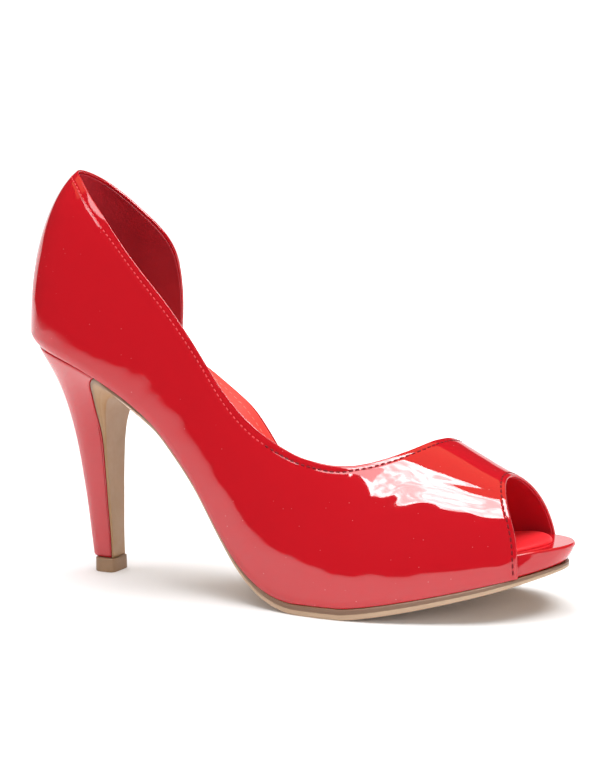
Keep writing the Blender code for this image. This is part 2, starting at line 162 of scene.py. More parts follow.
# Heel between the top piece and the seat. Columns: share of height, back x as a share of the seat's,
# breast x as a share of the seat's, half width as a share of the seat's
HEEL_LEVELS = (
    (0.00, -0.210, 0.369, 0.172), (0.12, -0.252, 0.359, 0.180), (0.25, -0.293, 0.330, 0.205),
    (0.38, -0.348, 0.311, 0.232), (0.52, -0.417, 0.301, 0.270), (0.65, -0.510, 0.262, 0.320),
    (0.77, -0.621, 0.214, 0.445), (0.87, -0.745, 0.340, 0.630), (0.94, -0.862, 0.560, 0.800),
    (1.00, -0.945, 1.000, 0.960),
)

# Flap of the outsole down the breast. Columns: share of the flap, share of height at its back,
# front x as a share of its reach, share of height at its front
FLAP = (
    (0.00, 0.970, 1.060, 0.878), (0.08, 0.930, 0.850, 0.893), (0.16, 0.880, 0.640, 0.888),
    (0.24, 0.820, 0.465, 0.862), (0.34, 0.750, 0.335, 0.810), (0.46, 0.640, 0.250, 0.700),
    (0.60, 0.490, 0.222, 0.530), (0.75, 0.320, 0.230, 0.340), (0.88, 0.150, 0.240, 0.160),
    (1.00, 0.000, 0.248, 0.000),
)

# Soft troughs and ridges of the vamp's leather.
# Columns: station and degrees of one end, station and degrees of the other, width, depth, metres
CREASES = (
    (0.640, 30.0, 0.705, 44.0, 0.0030, 0.00016),
    (0.655, 22.0, 0.740, 41.0, 0.0026, 0.00012),
    (0.700, 45.0, 0.800, 50.0, 0.0018, 0.00014),
    (0.715, 50.0, 0.820, 57.0, 0.0016, -0.00010),
    (0.730, 56.0, 0.815, 63.0, 0.0018, 0.00012),
    (0.660, 40.0, 0.690, 52.0, 0.0014, 0.00010),
    (0.740, 34.0, 0.800, 41.0, 0.0024, 0.00006),
)

# Metres over the foot for one unit of station and for one degree, for the creases' layout
STATION_LENGTH = 0.24
DEGREE_LENGTH = 0.00085

# Fine seam half way up the sole's edge. Columns: inset in metres, share of the edge's height
SEAM = ((0.00006, 0.47), (0.00013, 0.50), (0.00006, 0.53))

# Length and thickness of a thread from end to end. Columns: share of its length, share of its radius
THREAD = ((-0.50, 0.35), (-0.42, 0.80), (-0.20, 1.00), (0.20, 1.00), (0.42, 0.80), (0.50, 0.35))

# Where along X the inside turns from the heel's colour to the toe's, in the lining and in flat layers
LINING_FRONT = (0.095, 0.120)
# In the coral sock the toe's redder colour is painted red light bounced off the patent upper
LAYER_FRONT = (0.095, 0.130)

# Spot inside the vamp that the cards face, and the colour of light without a tint
VAMP = (0.11, 0.0, 0.05)
WHITE = (1.0, 1.0, 1.0)


class Curve:
    """Natural cubic curve through a table's rows, read over the table's first column."""

    def __init__(self, rows: Sequence[Sequence[float]]) -> None:
        """Solve the curve's slopes once.

        Args:
            rows: knots in the first column, values in the others.
        """
        table = np.array(rows, float)
        self.knots = table[:, 0]
        self.values = table[:, 1:]
        step = np.diff(self.knots)
        rise = np.diff(self.values, axis=0) / step[:, None]
        count = len(self.knots)
        matrix = np.zeros((count, count))
        inner = np.arange(1, count - 1)
        matrix[inner, inner - 1] = step[1:]
        matrix[inner, inner] = 2.0 * (step[:-1] + step[1:])
        matrix[inner, inner + 1] = step[:-1]
        matrix[0, :2] = (2.0, 1.0)
        matrix[-1, -2:] = (1.0, 2.0)
        right = np.zeros_like(self.values)
        right[inner] = 3.0 * (step[1:, None] * rise[:-1] + step[:-1, None] * rise[1:])
        right[0] = 3.0 * rise[0]
        right[-1] = 3.0 * rise[-1]
        self.slope = np.linalg.solve(matrix, right)

    def at(self, place: Array, column: int = 0) -> Array:
        """Read one column.

        Args:
            place: places along the first column.
            column: which value column, counted after the first.

        Returns:
            The values, in the shape of the places.
        """
        place = np.clip(np.asarray(place, float), self.knots[0], self.knots[-1])
        i = np.clip(np.searchsorted(self.knots, place, side="right") - 1, 0, len(self.knots) - 2)
        h = self.knots[i + 1] - self.knots[i]
        s = (place - self.knots[i]) / h
        value = self.values[:, column]
        slope = self.slope[:, column]
        start = (1 + 2 * s) * (1 - s) ** 2 * value[i] + s * (1 - s) ** 2 * h * slope[i]
        return start + s * s * (3 - 2 * s) * value[i + 1] + s * s * (s - 1) * h * slope[i + 1]


def smooth(low: float, high: float, at: Array) -> Array:
    """Soft step.

    Args:
        low: where it starts to rise from 0.
        high: where it reaches 1.
        at: places to read.

    Returns:
        Values between 0 and 1.
    """
    u = np.clip((np.asarray(at, float) - low) / (high - low), 0.0, 1.0)
    return u * u * (3 - 2 * u)


def unit(vectors: Array) -> Array:
    """Vectors at length 1.

    Args:
        vectors: array whose last axis holds x, y, z.

    Returns:
        The same directions.
    """
    return vectors / np.maximum(np.linalg.norm(vectors, axis=-1, keepdims=True), 1e-12)


@dataclass(frozen=True)
class Last:
    """The foot shape that all pieces follow."""

    length: float = 0.2185
    ball_width: float = 0.078
    seat_height: float = 0.092
    back_x: float = -0.0288
    toe_spring: float = 0.0168
    axis_x: float = 0.0022
    axis_blend: float = 0.014
    axis_end: float = 0.012
    instep_height: float = 0.070
    sole_edge: float = 0.0037
    platform_height: float = 0.0103
    wall: float = 0.0016
    tuck_depth: float = 0.0022
    tuck_height: float = 0.0040
    roundness: float = 0.90
    sole_twist: float = 0.008
    bed_twist: float = 0.023
    twist_side: float = 0.32
    twist_rise: Tuple[float, float] = (0.155, 0.292)
    twist_fall: Tuple[float, float] = (0.383, 0.576)
    spring_power: float = 1.25
    spring_limit: float = 1.2
    gap: float = 0.0003
    breast_x: float = 0.0103
    seat_half: float = 0.0256
    heel_base: float = 0.0056

    def __post_init__(self) -> None:
        """Solve the tables' curves."""
        rows = np.array(OUTLINE + OUTLINE[:1], float) * (self.length, self.ball_width)
        run = np.concatenate([[0.0], np.cumsum(np.sqrt(np.linalg.norm(np.diff(rows, axis=0), axis=1)))])
        knots = np.concatenate([run[:-1] - run[-1], run[:-1], run + run[-1]])
        closed = np.vstack([rows[:-1], rows[:-1], rows])
        tables = {
            "plan": Curve(np.column_stack([knots, closed])),
            "rise": Curve(RISE),
            "sole": Curve(SOLE_THICK),
            "platform": Curve(PLATFORM_THICK),
            "crown": Curve(CROWN),
            "lean": Curve(LEAN),
            "tuck": Curve(TUCK),
        }
        object.__setattr__(self, "tables", tables)
        object.__setattr__(self, "lateral_run", run[TOE_ROW])
        object.__setattr__(self, "medial_run", run[-1] - run[TOE_ROW])
        stations = np.linspace(0.0, 1.0, 400)
        object.__setattr__(self, "stations", stations)
        object.__setattr__(self, "lateral", self.outline(stations))
        object.__setattr__(self, "medial", self.outline(-stations))

    def place(self, t: Array) -> Array:
        """Outline point at a station.

        Args:
            t: 0 at the back, up to 1 at the toe laterally and -1 medially.

        Returns:
            x and y on the last axis.
        """
        run = np.where(t >= 0, t * self.lateral_run, t * self.medial_run)
        plan = self.tables["plan"]
        return np.stack([plan.at(run, 0), plan.at(run, 1)], -1)

    def outline(self, t: Array, out: Union[float, Array] = 0.0) -> Tuple[Array, Array]:
        """Outline moved outwards square to itself.

        Args:
            t: stations.
            out: metres outwards.

        Returns:
            x and y.
        """
        t = np.asarray(t, float)
        here = self.place(t)
        along = unit(self.place(t + 0.002) - self.place(t - 0.002))
        return here[..., 0] + self.back_x + out * along[..., 1], here[..., 1] - out * along[..., 0]

    def share(self, x: Array) -> Array:
        """Share of the length at x.

        Args:
            x: metres.

        Returns:
            0 at the back, 1 at the toe.
        """
        return (np.asarray(x, float) - self.back_x) / self.length

    def profile(self, x: Array) -> Array:
        """Height of the outsole's underside: rise behind the ball, flat spot, toe spring.

        Args:
            x: metres.

        Returns:
            z in metres.
        """
        s = self.share(x)
        rear = np.where(s > FLAT_FROM, 0.0, np.maximum(self.seat_height * self.tables["rise"].at(s), 0.0))
        front = np.clip((s - FLAT_TO) / (1 - FLAT_TO), 0.0, self.spring_limit)
        return rear + self.toe_spring * front ** self.spring_power

    def twisted(self, x: Array, y: Array, twist: float) -> Array:
        """x moved back on the medial side of the waist, which lifts that side.

        Args:
            x: metres.
            y: metres.
            twist: how far at most.

        Returns:
            The moved x.
        """
        side = smooth(-self.twist_side * self.ball_width, self.twist_side * self.ball_width, y)
        s = self.share(x)
        window = smooth(*self.twist_rise, s) * (1.0 - smooth(*self.twist_fall, s))
        return x - twist * side * window

    def sole_under(self, x: Array, y: Array) -> Array:
        """Underside of the outsole.

        Args:
            x: metres.
            y: metres.

        Returns:
            z in metres.
        """
        return self.profile(self.twisted(x, y, self.sole_twist))

    def sole_top(self, x: Array, y: Array) -> Array:
        """Top of the outsole and of the heel's seat.

        Args:
            x: metres.
            y: metres.

        Returns:
            z in metres.
        """
        return self.sole_under(x, y) + self.sole_edge * self.tables["sole"].at(self.share(x))

    def bed(self, x: Array, y: Array) -> Array:
        """Top of the wrapped platform and insole board.

        Args:
            x: metres.
            y: metres.

        Returns:
            z in metres.
        """
        s = self.share(x)
        return (
            self.profile(self.twisted(x, y, self.bed_twist))
            + self.sole_edge * self.tables["sole"].at(s)
            + self.platform_height * self.tables["platform"].at(s)
        )

    def tuck(self, t: Array, degrees: Union[float, Array] = 0.0) -> Array:
        """How far the upper turns in near its foot: the depth times the square of the nearness.

        Args:
            t: stations.
            degrees: angles over the foot.

        Returns:
            Metres inwards.
        """
        rise = self.instep_height * np.sin(np.radians(degrees)) / self.tuck_height
        low = 1.0 - np.clip(rise, 0.0, 1.0)
        return self.tuck_depth * np.maximum(self.tables["tuck"].at(np.abs(t)), 0.0) * low ** 2

    def point(self, t: Array, degrees: Array) -> Array:
        """Surface of the last: each station's plan point swung over the middle axis by an angle.

        Args:
            t: stations.
            degrees: 0 at the near feather, 90 on the ridge, 180 at the far feather.

        Returns:
            x, y, z on the last axis.
        """
        px, py = self.outline(t, -self.tuck(t, degrees))
        ax = (px + self.axis_x + np.sqrt((px - self.axis_x) ** 2 + self.axis_blend ** 2)) / 2
        wide = 1.0 - smooth(0.0, self.axis_end, ax - px)
        sides = np.interp(px, *self.medial) + np.interp(px, *self.lateral)
        phi = np.radians(degrees)
        across = np.sign(np.cos(phi)) * np.abs(np.cos(phi)) ** self.roundness
        up = np.sin(phi)
        x = ax + (px - ax) * across
        middle = wide * sides / 2
        lean = wide * self.ball_width * self.tables["lean"].at(self.share(ax)) * up ** 2
        y = middle + (py - middle) * across + lean
        z = self.sole_top(px, y) + self.instep_height * self.tables["crown"].at(self.share(ax)) * up
        return np.stack([x, y, z], axis=-1)


class Surface:
    """Mesh building from whole arrays of points."""

    @staticmethod
    def ring_faces(rows: int, count: int, capped: bool = True) -> Array:
        """Quads of a stack of closed rings.

        Args:
            rows: how many rings.
            count: vertices in each ring, an even number.
            capped: whether the first and last ring are closed across.

        Returns:
            Vertex numbers, four in each row.
        """
        index = np.arange(rows * count).reshape(rows, count)
        after = np.roll(index, -1, axis=1)
        faces = [np.stack([index[:-1], after[:-1], after[1:], index[1:]], -1).reshape(-1, 4)]
        if capped:
            i = np.arange(count // 2 - 1)
            cap = np.stack([i, i + 1, count - 2 - i, count - 1 - i], -1)
            faces += [cap[:, ::-1], cap + (rows - 1) * count]
        return np.concatenate(faces)

    @staticmethod
    def build(
        name: str,
        points: Array,
        faces: Array,
        finish: bpy.types.Material,
        values: Optional[Dict[str, Array]] = None,
        merge: float = 2e-6,
    ) -> bpy.types.Object:
        """Make one smooth closed object.

        Args:
            name: the piece's name.
            points: x, y, z on the last axis.
            faces: vertex numbers.
            finish: its material.
            values: point attributes by name.
            merge: distance below which vertices become one.

        Returns:
            The object, at the origin.
        """
        mesh = bpy.data.meshes.new(name)
        mesh.from_pydata(points.reshape(-1, 3).tolist(), [], faces.tolist())
        for key, value in (values or {}).items():
            layer = mesh.attributes.new(key, "FLOAT", "POINT")
            layer.data.foreach_set("value", np.ascontiguousarray(value, np.float32).ravel())
        work = bmesh.new()
        work.from_mesh(mesh)
        if merge > 0:
            bmesh.ops.remove_doubles(work, verts=work.verts, dist=merge)
            bmesh.ops.dissolve_degenerate(work, dist=merge / 4, edges=work.edges)
        bmesh.ops.recalc_face_normals(work, faces=work.faces)
        work.to_mesh(mesh)
        work.free()
        mesh.polygons.foreach_set("use_smooth", np.ones(len(mesh.polygons), bool))
        mesh.materials.append(finish)
        made = bpy.data.objects.new(name, mesh)
        bpy.context.scene.collection.objects.link(made)
        LOG.info("%s: %d faces", name, len(mesh.polygons))
        return made


class Wire:
    """One shader output that takes part in sums and products."""

    def __init__(self, tree: "Graph", socket: bpy.types.NodeSocket) -> None:
        """Keep the socket and its tree.

        Args:
            tree: the graph that makes further nodes.
            socket: the output.
        """
        self.tree = tree
        self.socket = socket

    def __add__(self, other: "Term") -> "Wire":
        """Sum of both."""
        return self.tree.math("ADD", self, other)

    def __radd__(self, other: "Term") -> "Wire":
        """Sum of both, number first."""
        return self.tree.math("ADD", other, self)

    def __sub__(self, other: "Term") -> "Wire":
        """Difference."""
        return self.tree.math("SUBTRACT", self, other)

    def __rsub__(self, other: "Term") -> "Wire":
        """Difference, number first."""
        return self.tree.math("SUBTRACT", other, self)

    def __mul__(self, other: "Term") -> "Wire":
        """Product."""
        return self.tree.math("MULTIPLY", self, other)

    def step(self, low: float, high: float) -> "Wire":
        """Soft step of this value.

        Args:
            low: where it starts.
            high: where it ends.

        Returns:
            0 to 1.
        """
        node = self.tree.node("ShaderNodeMapRange", {"interpolation_type": "SMOOTHSTEP"}, {
            "Value": self, "From Min": low, "From Max": high,
        })
        return node["Result"]


Term = Union[Wire, float]


class Outputs:
    """A node's outputs by name."""

    def __init__(self, tree: "Graph", node: bpy.types.Node) -> None:
        """Keep the node.

        Args:
            tree: its graph.
            node: the node.
        """
        self.tree = tree
        self.made = node

    def __getitem__(self, key: Union[str, int]) -> Wire:
        """Output by name or number."""
        return Wire(self.tree, self.made.outputs[key])


class Graph:
    """A material's node tree."""

    def __init__(self, name: str) -> None:
        """Start an empty material.

        Args:
            name: the material's name.
        """
        self.material = bpy.data.materials.new(name)
        self.material.use_nodes = True
        self.nodes = self.material.node_tree.nodes
        self.links = self.material.node_tree.links
        self.nodes.clear()

    def node(self, kind: str, settings: Dict[str, object],
             sockets: Dict[Union[str, int], object]) -> Outputs:
        """Make a node: type, settings, then sockets.

        Args:
            kind: the node's type.
            settings: its properties.
            sockets: its inputs, as wires, numbers or colours.

        Returns:
            Its outputs.
        """
        made = self.nodes.new(kind)
        for key, value in settings.items():
            setattr(made, key, value)
        for key, value in sockets.items():
            if isinstance(value, Wire):
                self.links.new(value.socket, made.inputs[key])
            else:
                made.inputs[key].default_value = value
        return Outputs(self, made)

    def math(self, operation: str, first: Term, second: Term) -> Wire:
        """Arithmetic on two values.

        Args:
            operation: which one.
            first: wire or number.
            second: wire or number.

        Returns:
            The result.
        """
        return self.node("ShaderNodeMath", {"operation": operation}, {0: first, 1: second})[0]

    def mix(self, factor: Term, first: Union[Wire, Colour], second: Union[Wire, Colour]) -> Wire:
        """Blend of two colours.

        Args:
            factor: 0 for the first, 1 for the second.
            first: colour or wire.
            second: colour or wire.

        Returns:
            The blend.
        """
        rgba = [value if isinstance(value, Wire) else (*value, 1.0) for value in (first, second)]
        return self.node("ShaderNodeMix", {"data_type": "RGBA"}, {0: factor, 6: rgba[0], 7: rgba[1]})[2]

    def position(self) -> Wire:
        """Object coordinates.

        Returns:
            The coordinates.
        """
        return self.node("ShaderNodeTexCoord", {}, {})["Object"]

    def value(self, name: str) -> Wire:
        """A point attribute.

        Args:
            name: the attribute.

        Returns:
            Its value.
        """
        return self.node("ShaderNodeAttribute", {"attribute_name": name}, {})["Fac"]

    def noise(self, scale: float, detail: float, rough: float) -> Wire:
        """Cloudy noise over the object.

        Args:
            scale: blotches for each metre.
            detail: finer layers.
            rough: their strength.

        Returns:
            About 0 to 1.
        """
        sockets = {"Vector": self.position(), "Scale": scale, "Detail": detail, "Roughness": rough}
        return self.node("ShaderNodeTexNoise", {}, sockets)["Fac"]

    def cells(self, scale: float) -> Wire:
        """Distance to the nearest of many scattered points.

        Args:
            scale: points for each metre.

        Returns:
            The distance in cells.
        """
        sockets = {"Vector": self.position(), "Scale": scale}
        return self.node("ShaderNodeTexVoronoi", {}, sockets)["Distance"]

    def bump(self, height: Wire, distance: float) -> Wire:
        """Surface relief.

        Args:
            height: 0 to 1.
            distance: metres between 0 and 1.

        Returns:
            The shading normal.
        """
        sockets = {"Height": height, "Distance": distance, "Strength": 1.0}
        return self.node("ShaderNodeBump", {}, sockets)["Normal"]

    def principled(self, sockets: Dict[str, object]) -> Outputs:
        """The surface shader.

        Args:
            sockets: its inputs.

        Returns:
            The shader's outputs.
        """
        ready = {
            key: (*value, 1.0) if isinstance(value, tuple) and len(value) == 3 else value
            for key, value in sockets.items()
        }
        return self.node("ShaderNodeBsdfPrincipled", {}, ready)

    def finish(self, shader: Outputs) -> bpy.types.Material:
        """Close the tree.

        Args:
            shader: what the surface shows.

        Returns:
            The material.
        """
        self.node("ShaderNodeOutputMaterial", {}, {"Surface": shader[0]})
        return self.material


@dataclass(frozen=True)
class PatentFinish:
    """Glossy lacquered leather with soft waves and, where asked, a few pale specks."""

    name: str
    colour: Colour = (0.53, 0.0075, 0.0145)
    speck: Colour = (0.75, 0.30, 0.30)
    gloss: float = 0.045
    bend: float = 1.66
    wave: float = 0.0005
    wave_scale: float = 38.0
    grain: float = 0.006
    grain_scale: float = 700.0
    specks: float = 0.0
    speck_scale: float = 260.0

    def make(self) -> bpy.types.Material:
        """Build the material.

        Returns:
            The material.
        """
        g = Graph(self.name)
        soft = g.noise(self.wave_scale, 2.0, 0.42)
        fine = g.noise(self.grain_scale, 1.0, 0.5)
        height = soft + fine * self.grain
        dust = 1.0 - g.cells(self.speck_scale).step(0.02, 0.07)
        colour = g.mix(dust * self.specks, self.colour, self.speck)
        shader = g.principled({
            "Base Color": colour,
            "Roughness": self.gloss,
            "IOR": self.bend,
            "Normal": g.bump(height, self.wave),
        })
        return g.finish(shader)


@dataclass(frozen=True)
class LeatherFinish:
    """Leather with fine grain and slow changes of shade."""

    name: str
    colour: Colour
    shade: Colour
    roughness: float = 0.5
    grain: float = 0.00008
    grain_scale: float = 1400.0

    def make(self) -> bpy.types.Material:
        """Build the material.

        Returns:
            The material.
        """
        g = Graph(self.name)
        grain = g.cells(self.grain_scale)
        cloud = g.noise(70.0, 4.0, 0.6)
        colour = g.mix(cloud.step(0.35, 0.75) * 0.8, self.colour, self.shade)
        shader = g.principled({
            "Base Color": colour,
            "Roughness": self.roughness + (cloud - 0.5) * 0.1,
            "Normal": g.bump(grain, self.grain),
        })
        return g.finish(shader)


@dataclass(frozen=True)
class LiningFinish:
    """Matt leather of one colour round the heel and another in the toe; in the coral sock the toe's redder
    colour is painted red light bounced off the patent upper.
    """

    name: str = "red_lining"
    heel: Colour = (0.50, 0.030, 0.045)
    shade: Colour = (0.40, 0.018, 0.030)
    toe: Colour = (0.52, 0.010, 0.024)
    roughness: float = 0.55
    shine: float = 0.3
    nap: float = 0.00008

    def make(self) -> bpy.types.Material:
        """Build the material from the front attribute.

        Returns:
            The material.
        """
        g = Graph(self.name)
        nap = g.noise(1500.0, 3.0, 0.6)
        cloud = g.noise(60.0, 3.0, 0.5)
        dark = g.mix(cloud.step(0.3, 0.7) * 0.5, self.heel, self.shade)
        shader = g.principled({
            "Base Color": g.mix(g.value("front"), dark, self.toe),
            "Roughness": self.roughness,
            "Specular IOR Level": self.shine,
            "Normal": g.bump(nap, self.nap),
        })
        return g.finish(shader)


@dataclass(frozen=True)
class EdgeFinish:
    """Sole leather: clouded faces, a dark upper band and a light lower band on the edge."""

    name: str = "sole_leather"
    face: Colour = (0.37, 0.192, 0.070)
    pale: Colour = (0.46, 0.30, 0.18)
    light: Colour = (0.50, 0.34, 0.22)
    dark: Colour = (0.20, 0.105, 0.058)
    roughness: float = 0.48
    grain: float = 0.00008

    def make(self) -> bpy.types.Material:
        """Build the material from the level and rim attributes.

        Returns:
            The material.
        """
        g = Graph(self.name)
        level = g.value("level")
        rim = g.value("rim")
        fibre = g.noise(500.0, 3.0, 0.6)
        band = (level + (fibre - 0.5) * 0.06).step(0.46, 0.56)
        edge = g.mix(band, self.light, self.dark)
        cloud = g.noise(60.0, 4.0, 0.6)
        face = g.mix(cloud.step(0.3, 0.8) * 0.7, self.face, self.pale)
        colour = g.mix(rim, face, edge)
        shader = g.principled({
            "Base Color": colour,
            "Roughness": self.roughness + (cloud - 0.5) * 0.15,
            "Coat Weight": 0.15,
            "Coat Roughness": 0.25,
            "Normal": g.bump(fibre, self.grain),
        })
        return g.finish(shader)


@dataclass(frozen=True)
class ThreadFinish:
    """Sewing thread."""

    name: str
    colour: Colour
    twist: float = 0.00005

    def make(self) -> bpy.types.Material:
        """Build the material.

        Returns:
            The material.
        """
        g = Graph(self.name)
        twist = g.noise(4000.0, 1.0, 0.5)
        shader = g.principled({
            "Base Color": self.colour,
            "Roughness": 0.7,
            "Specular IOR Level": 0.15,
            "Normal": g.bump(twist, self.twist),
        })
        return g.finish(shader)


class Side(Enum):
    """Which side of the outline a run follows."""

    LATERAL = 1
    MEDIAL = -1


@dataclass(frozen=True)
class StitchRow:
    """Short rounded threads along a path."""

    pitch: float = 0.0023
    length: float = 0.0016
    radius: float = 0.00036
    flat: float = 0.8
    sides: int = 6

    def build(self, name: str, path: Array, normal: Array, finish: bpy.types.Material) -> bpy.types.Object:
        """Lay the threads: at even steps of the path's length a flattened capsule along its direction.

        Args:
            name: the piece's name.
            path: points in order.
            normal: surface directions at the points.
            finish: the thread's material.

        Returns:
            The piece.
        """
        run = np.concatenate([[0.0], np.cumsum(np.linalg.norm(np.diff(path, axis=0), axis=1))])
        count = int(run[-1] / self.pitch)
        at = (np.arange(count) + 0.5) * run[-1] / count

        def read(values: Array, place: Array) -> Array:
            """Values at places along the path."""
            return np.stack([np.interp(place, run, values[:, k]) for k in range(3)], -1)

        centre = read(path, at)
        along = unit(read(path, at + self.length / 2) - read(path, at - self.length / 2))
        up = unit(read(normal, at))
        side = unit(np.cross(up, along))
        up = np.cross(along, side)
        reach = np.array([share for share, _ in THREAD]) * self.length
        girth = np.array([share for _, share in THREAD]) * self.radius
        turn = np.linspace(0.0, 2 * np.pi, self.sides, endpoint=False)
        points = (
            centre[:, None, None]
            + along[:, None, None] * reach[None, :, None, None]
            + side[:, None, None] * (girth[:, None] * np.cos(turn))[None, :, :, None]
            + up[:, None, None] * (girth[:, None] * np.sin(turn) * self.flat)[None, :, :, None]
        )
        one = Surface.ring_faces(len(reach), len(turn))
        faces = (one[None] + (np.arange(count) * len(reach) * len(turn))[:, None, None]).reshape(-1, 4)
        return Surface.build(name, points, faces, finish, merge=0.0)


@dataclass(frozen=True)
class Upper:
    """Patent upper of one shell with folded rims, its lining and its stitch rows."""

    last: Last
    leather: float = 0.0011
    leather_gap: float = 0.00003
    lining_low: float = 0.0008
    lining_high: float = 0.0011
    stitch_rear: float = 0.0031
    stitch_front: float = 0.0023
    stitch_trim: int = 4
    stitch_shift: Tuple[float, float] = (0.40, 0.50)
    quarter_x: float = 0.083
    groove_depth: float = 0.00012
    groove_width: float = 0.00048
    band: float = 0.0070
    band_share: float = 0.4
    foot_rows: int = 21
    middle_rows: int = 40
    head_rows: int = 24
    dense_rows: int = 181
    wing_share: float = 0.06
    slant_limit: float = 0.45
    slant_fade: float = 0.03
    crease_edge: float = 0.006
    peep_blend: float = 0.004
    round_end: float = 6.0
    thin_end: float = 0.05

    def run(self) -> Array:
        """Places along the topline, close where the edge turns fast.

        Returns:
            Shares from 0 to 1.
        """
        return np.concatenate([
            np.linspace(0.0, self.wing_share, 50)[:-1],
            np.linspace(self.wing_share, PEEP_START, 190)[:-1],
            np.linspace(PEEP_START, PEEP_STOP, 170)[:-1],
            np.linspace(PEEP_STOP, 1.0, 50),
        ])

    def edges(self, p: Array) -> Tuple[Array, Array, Array, Array]:
        """Lower and upper edge of the shell at each place of the run.

        Args:
            p: shares of the run.

        Returns:
            Station and degrees of the lower edge, then of the upper edge.
        """
        rim = Curve(PEEP_EDGE)
        top = Curve(TOPLINE)
        side = WING_END + (PEEP_EDGE[0][1] - WING_END) * np.clip(p / PEEP_START, 0, 1)
        angle = 180.0 * np.clip((p - PEEP_START) / (PEEP_STOP - PEEP_START), 0, 1)
        end = PEEP_EDGE[-1][1]
        back = end + (VAMP_END - end) * np.clip((p - PEEP_STOP) / (1 - PEEP_STOP), 0, 1)
        t = np.where(p < PEEP_START, side, np.where(p < PEEP_STOP, rim.at(angle), back))
        return t, angle, top.at(p, 0), top.at(p, 1)

    def creases(self, t: Array, degrees: Array) -> Array:
        """Relief of the listed creases: each a soft trough about a segment that fades at its ends.

        Args:
            t: stations.
            degrees: angles over the foot.

        Returns:
            Metres outwards.
        """
        u = t * STATION_LENGTH
        w = degrees * DEGREE_LENGTH
        total = np.zeros_like(u)
        for t0, a0, t1, a1, width, depth in CREASES:
            start = np.array([t0 * STATION_LENGTH, a0 * DEGREE_LENGTH])
            way = np.array([t1 * STATION_LENGTH, a1 * DEGREE_LENGTH]) - start
            length = float(np.hypot(*way))
            along = ((u - start[0]) * way[0] + (w - start[1]) * way[1]) / length ** 2
            off = ((u - start[0]) * way[1] - (w - start[1]) * way[0]) / length
            fade = smooth(-0.25, 0.2, along) * (1 - smooth(0.8, 1.25, along))
            total -= depth * fade * np.exp(-((off / width) ** 2))
        return total

    def sheet(self, low: float, high: float) -> Tuple[Array, Array, Array, Array]:
        """The wall's middle surface on rows at fixed distances from both edges.

        Args:
            low: distance of the first row from the lower edge.
            high: distance of the last row from the upper edge.

        Returns:
            Points, normals to the outside, directions up the wall, and distances square to the upper edge.
        """
        p = self.run()[:, None]
        dense = np.linspace(0.0, 1.0, self.dense_rows)[None, :]
        low_t, low_a, top_t, top_a = self.edges(p)
        t = low_t + (top_t - low_t) * dense
        degrees = low_a + (top_a - low_a) * dense
        fine = self.last.point(t, degrees)
        steps = np.linalg.norm(np.diff(fine, axis=1), axis=-1)
        run = np.concatenate([np.zeros((len(p), 1)), np.cumsum(steps, axis=1)], axis=1)
        total = run[:, -1:]
        near = np.minimum(self.band, total * self.band_share)
        foot = low + (near - low) * np.linspace(0.0, 1.0, self.foot_rows)[None, :]
        head = total - high - (near - high) * np.linspace(1.0, 0.0, self.head_rows)[None, :]
        share = np.linspace(0.0, 1.0, self.middle_rows)[None, 1:-1]
        middle = foot[:, -1:] + (head[:, :1] - foot[:, -1:]) * share
        rows = np.concatenate([foot, middle, head], axis=1)
        at = np.stack([np.interp(rows[i], run[i], dense[0]) for i in range(len(p))])
        t = low_t + (top_t - low_t) * at
        degrees = low_a + (top_a - low_a) * at
        points = self.last.point(t, degrees)
        along = np.gradient(points, axis=0)
        up = unit(np.gradient(points, axis=1))
        normal = unit(np.cross(along, up))
        relief = self.creases(t, degrees)
        inside = smooth(0.0, self.crease_edge, rows) * smooth(0.0, self.crease_edge, total - rows)
        slant = np.linalg.norm(np.cross(unit(along[:, -1]), up[:, -1]), axis=-1)[:, None]
        rear = 1.0 - smooth(PEEP_START - self.slant_fade, PEEP_START, p)
        slant = 1.0 + (np.clip(slant, self.slant_limit, 1.0) - 1.0) * rear
        return points + normal * (relief * inside)[..., None], normal, up, (total - rows) * slant

    def grooves(self, depth: Array, total: Array, peep: Array) -> Array:
        """Sunk lines that the stitches lie in.

        Args:
            depth: distance from the upper edge.
            total: the wall's height at each column.
            peep: 1 where the lower edge is the peep opening.

        Returns:
            Metres outwards.
        """
        top = np.exp(-(((depth - self.stitch_line()) / self.groove_width) ** 2))
        low = np.exp(-(((total - depth - self.stitch_front) / self.groove_width) ** 2))
        return -self.groove_depth * (top + low * peep)

    def stitch_line(self) -> Array:
        """Distance of the upper stitch row from the topline at each place of the run.

        Returns:
            Metres, one row for each place.
        """
        p = self.run()[:, None]
        return self.stitch_rear + (self.stitch_front - self.stitch_rear) * smooth(*self.stitch_shift, p)

    @staticmethod
    def trace(values: Array, depth: Array, at: Array) -> Array:
        """Path over the wall at a given distance from the upper edge.

        Args:
            values: points or normals of the wall.
            depth: distances of the wall's rows, falling.
            at: the wanted distance at each place.

        Returns:
            One point for each place.
        """
        return np.stack([
            [np.interp(at[i, 0], depth[i, ::-1], values[i, ::-1, k]) for k in range(3)]
            for i in range(len(values))
        ])

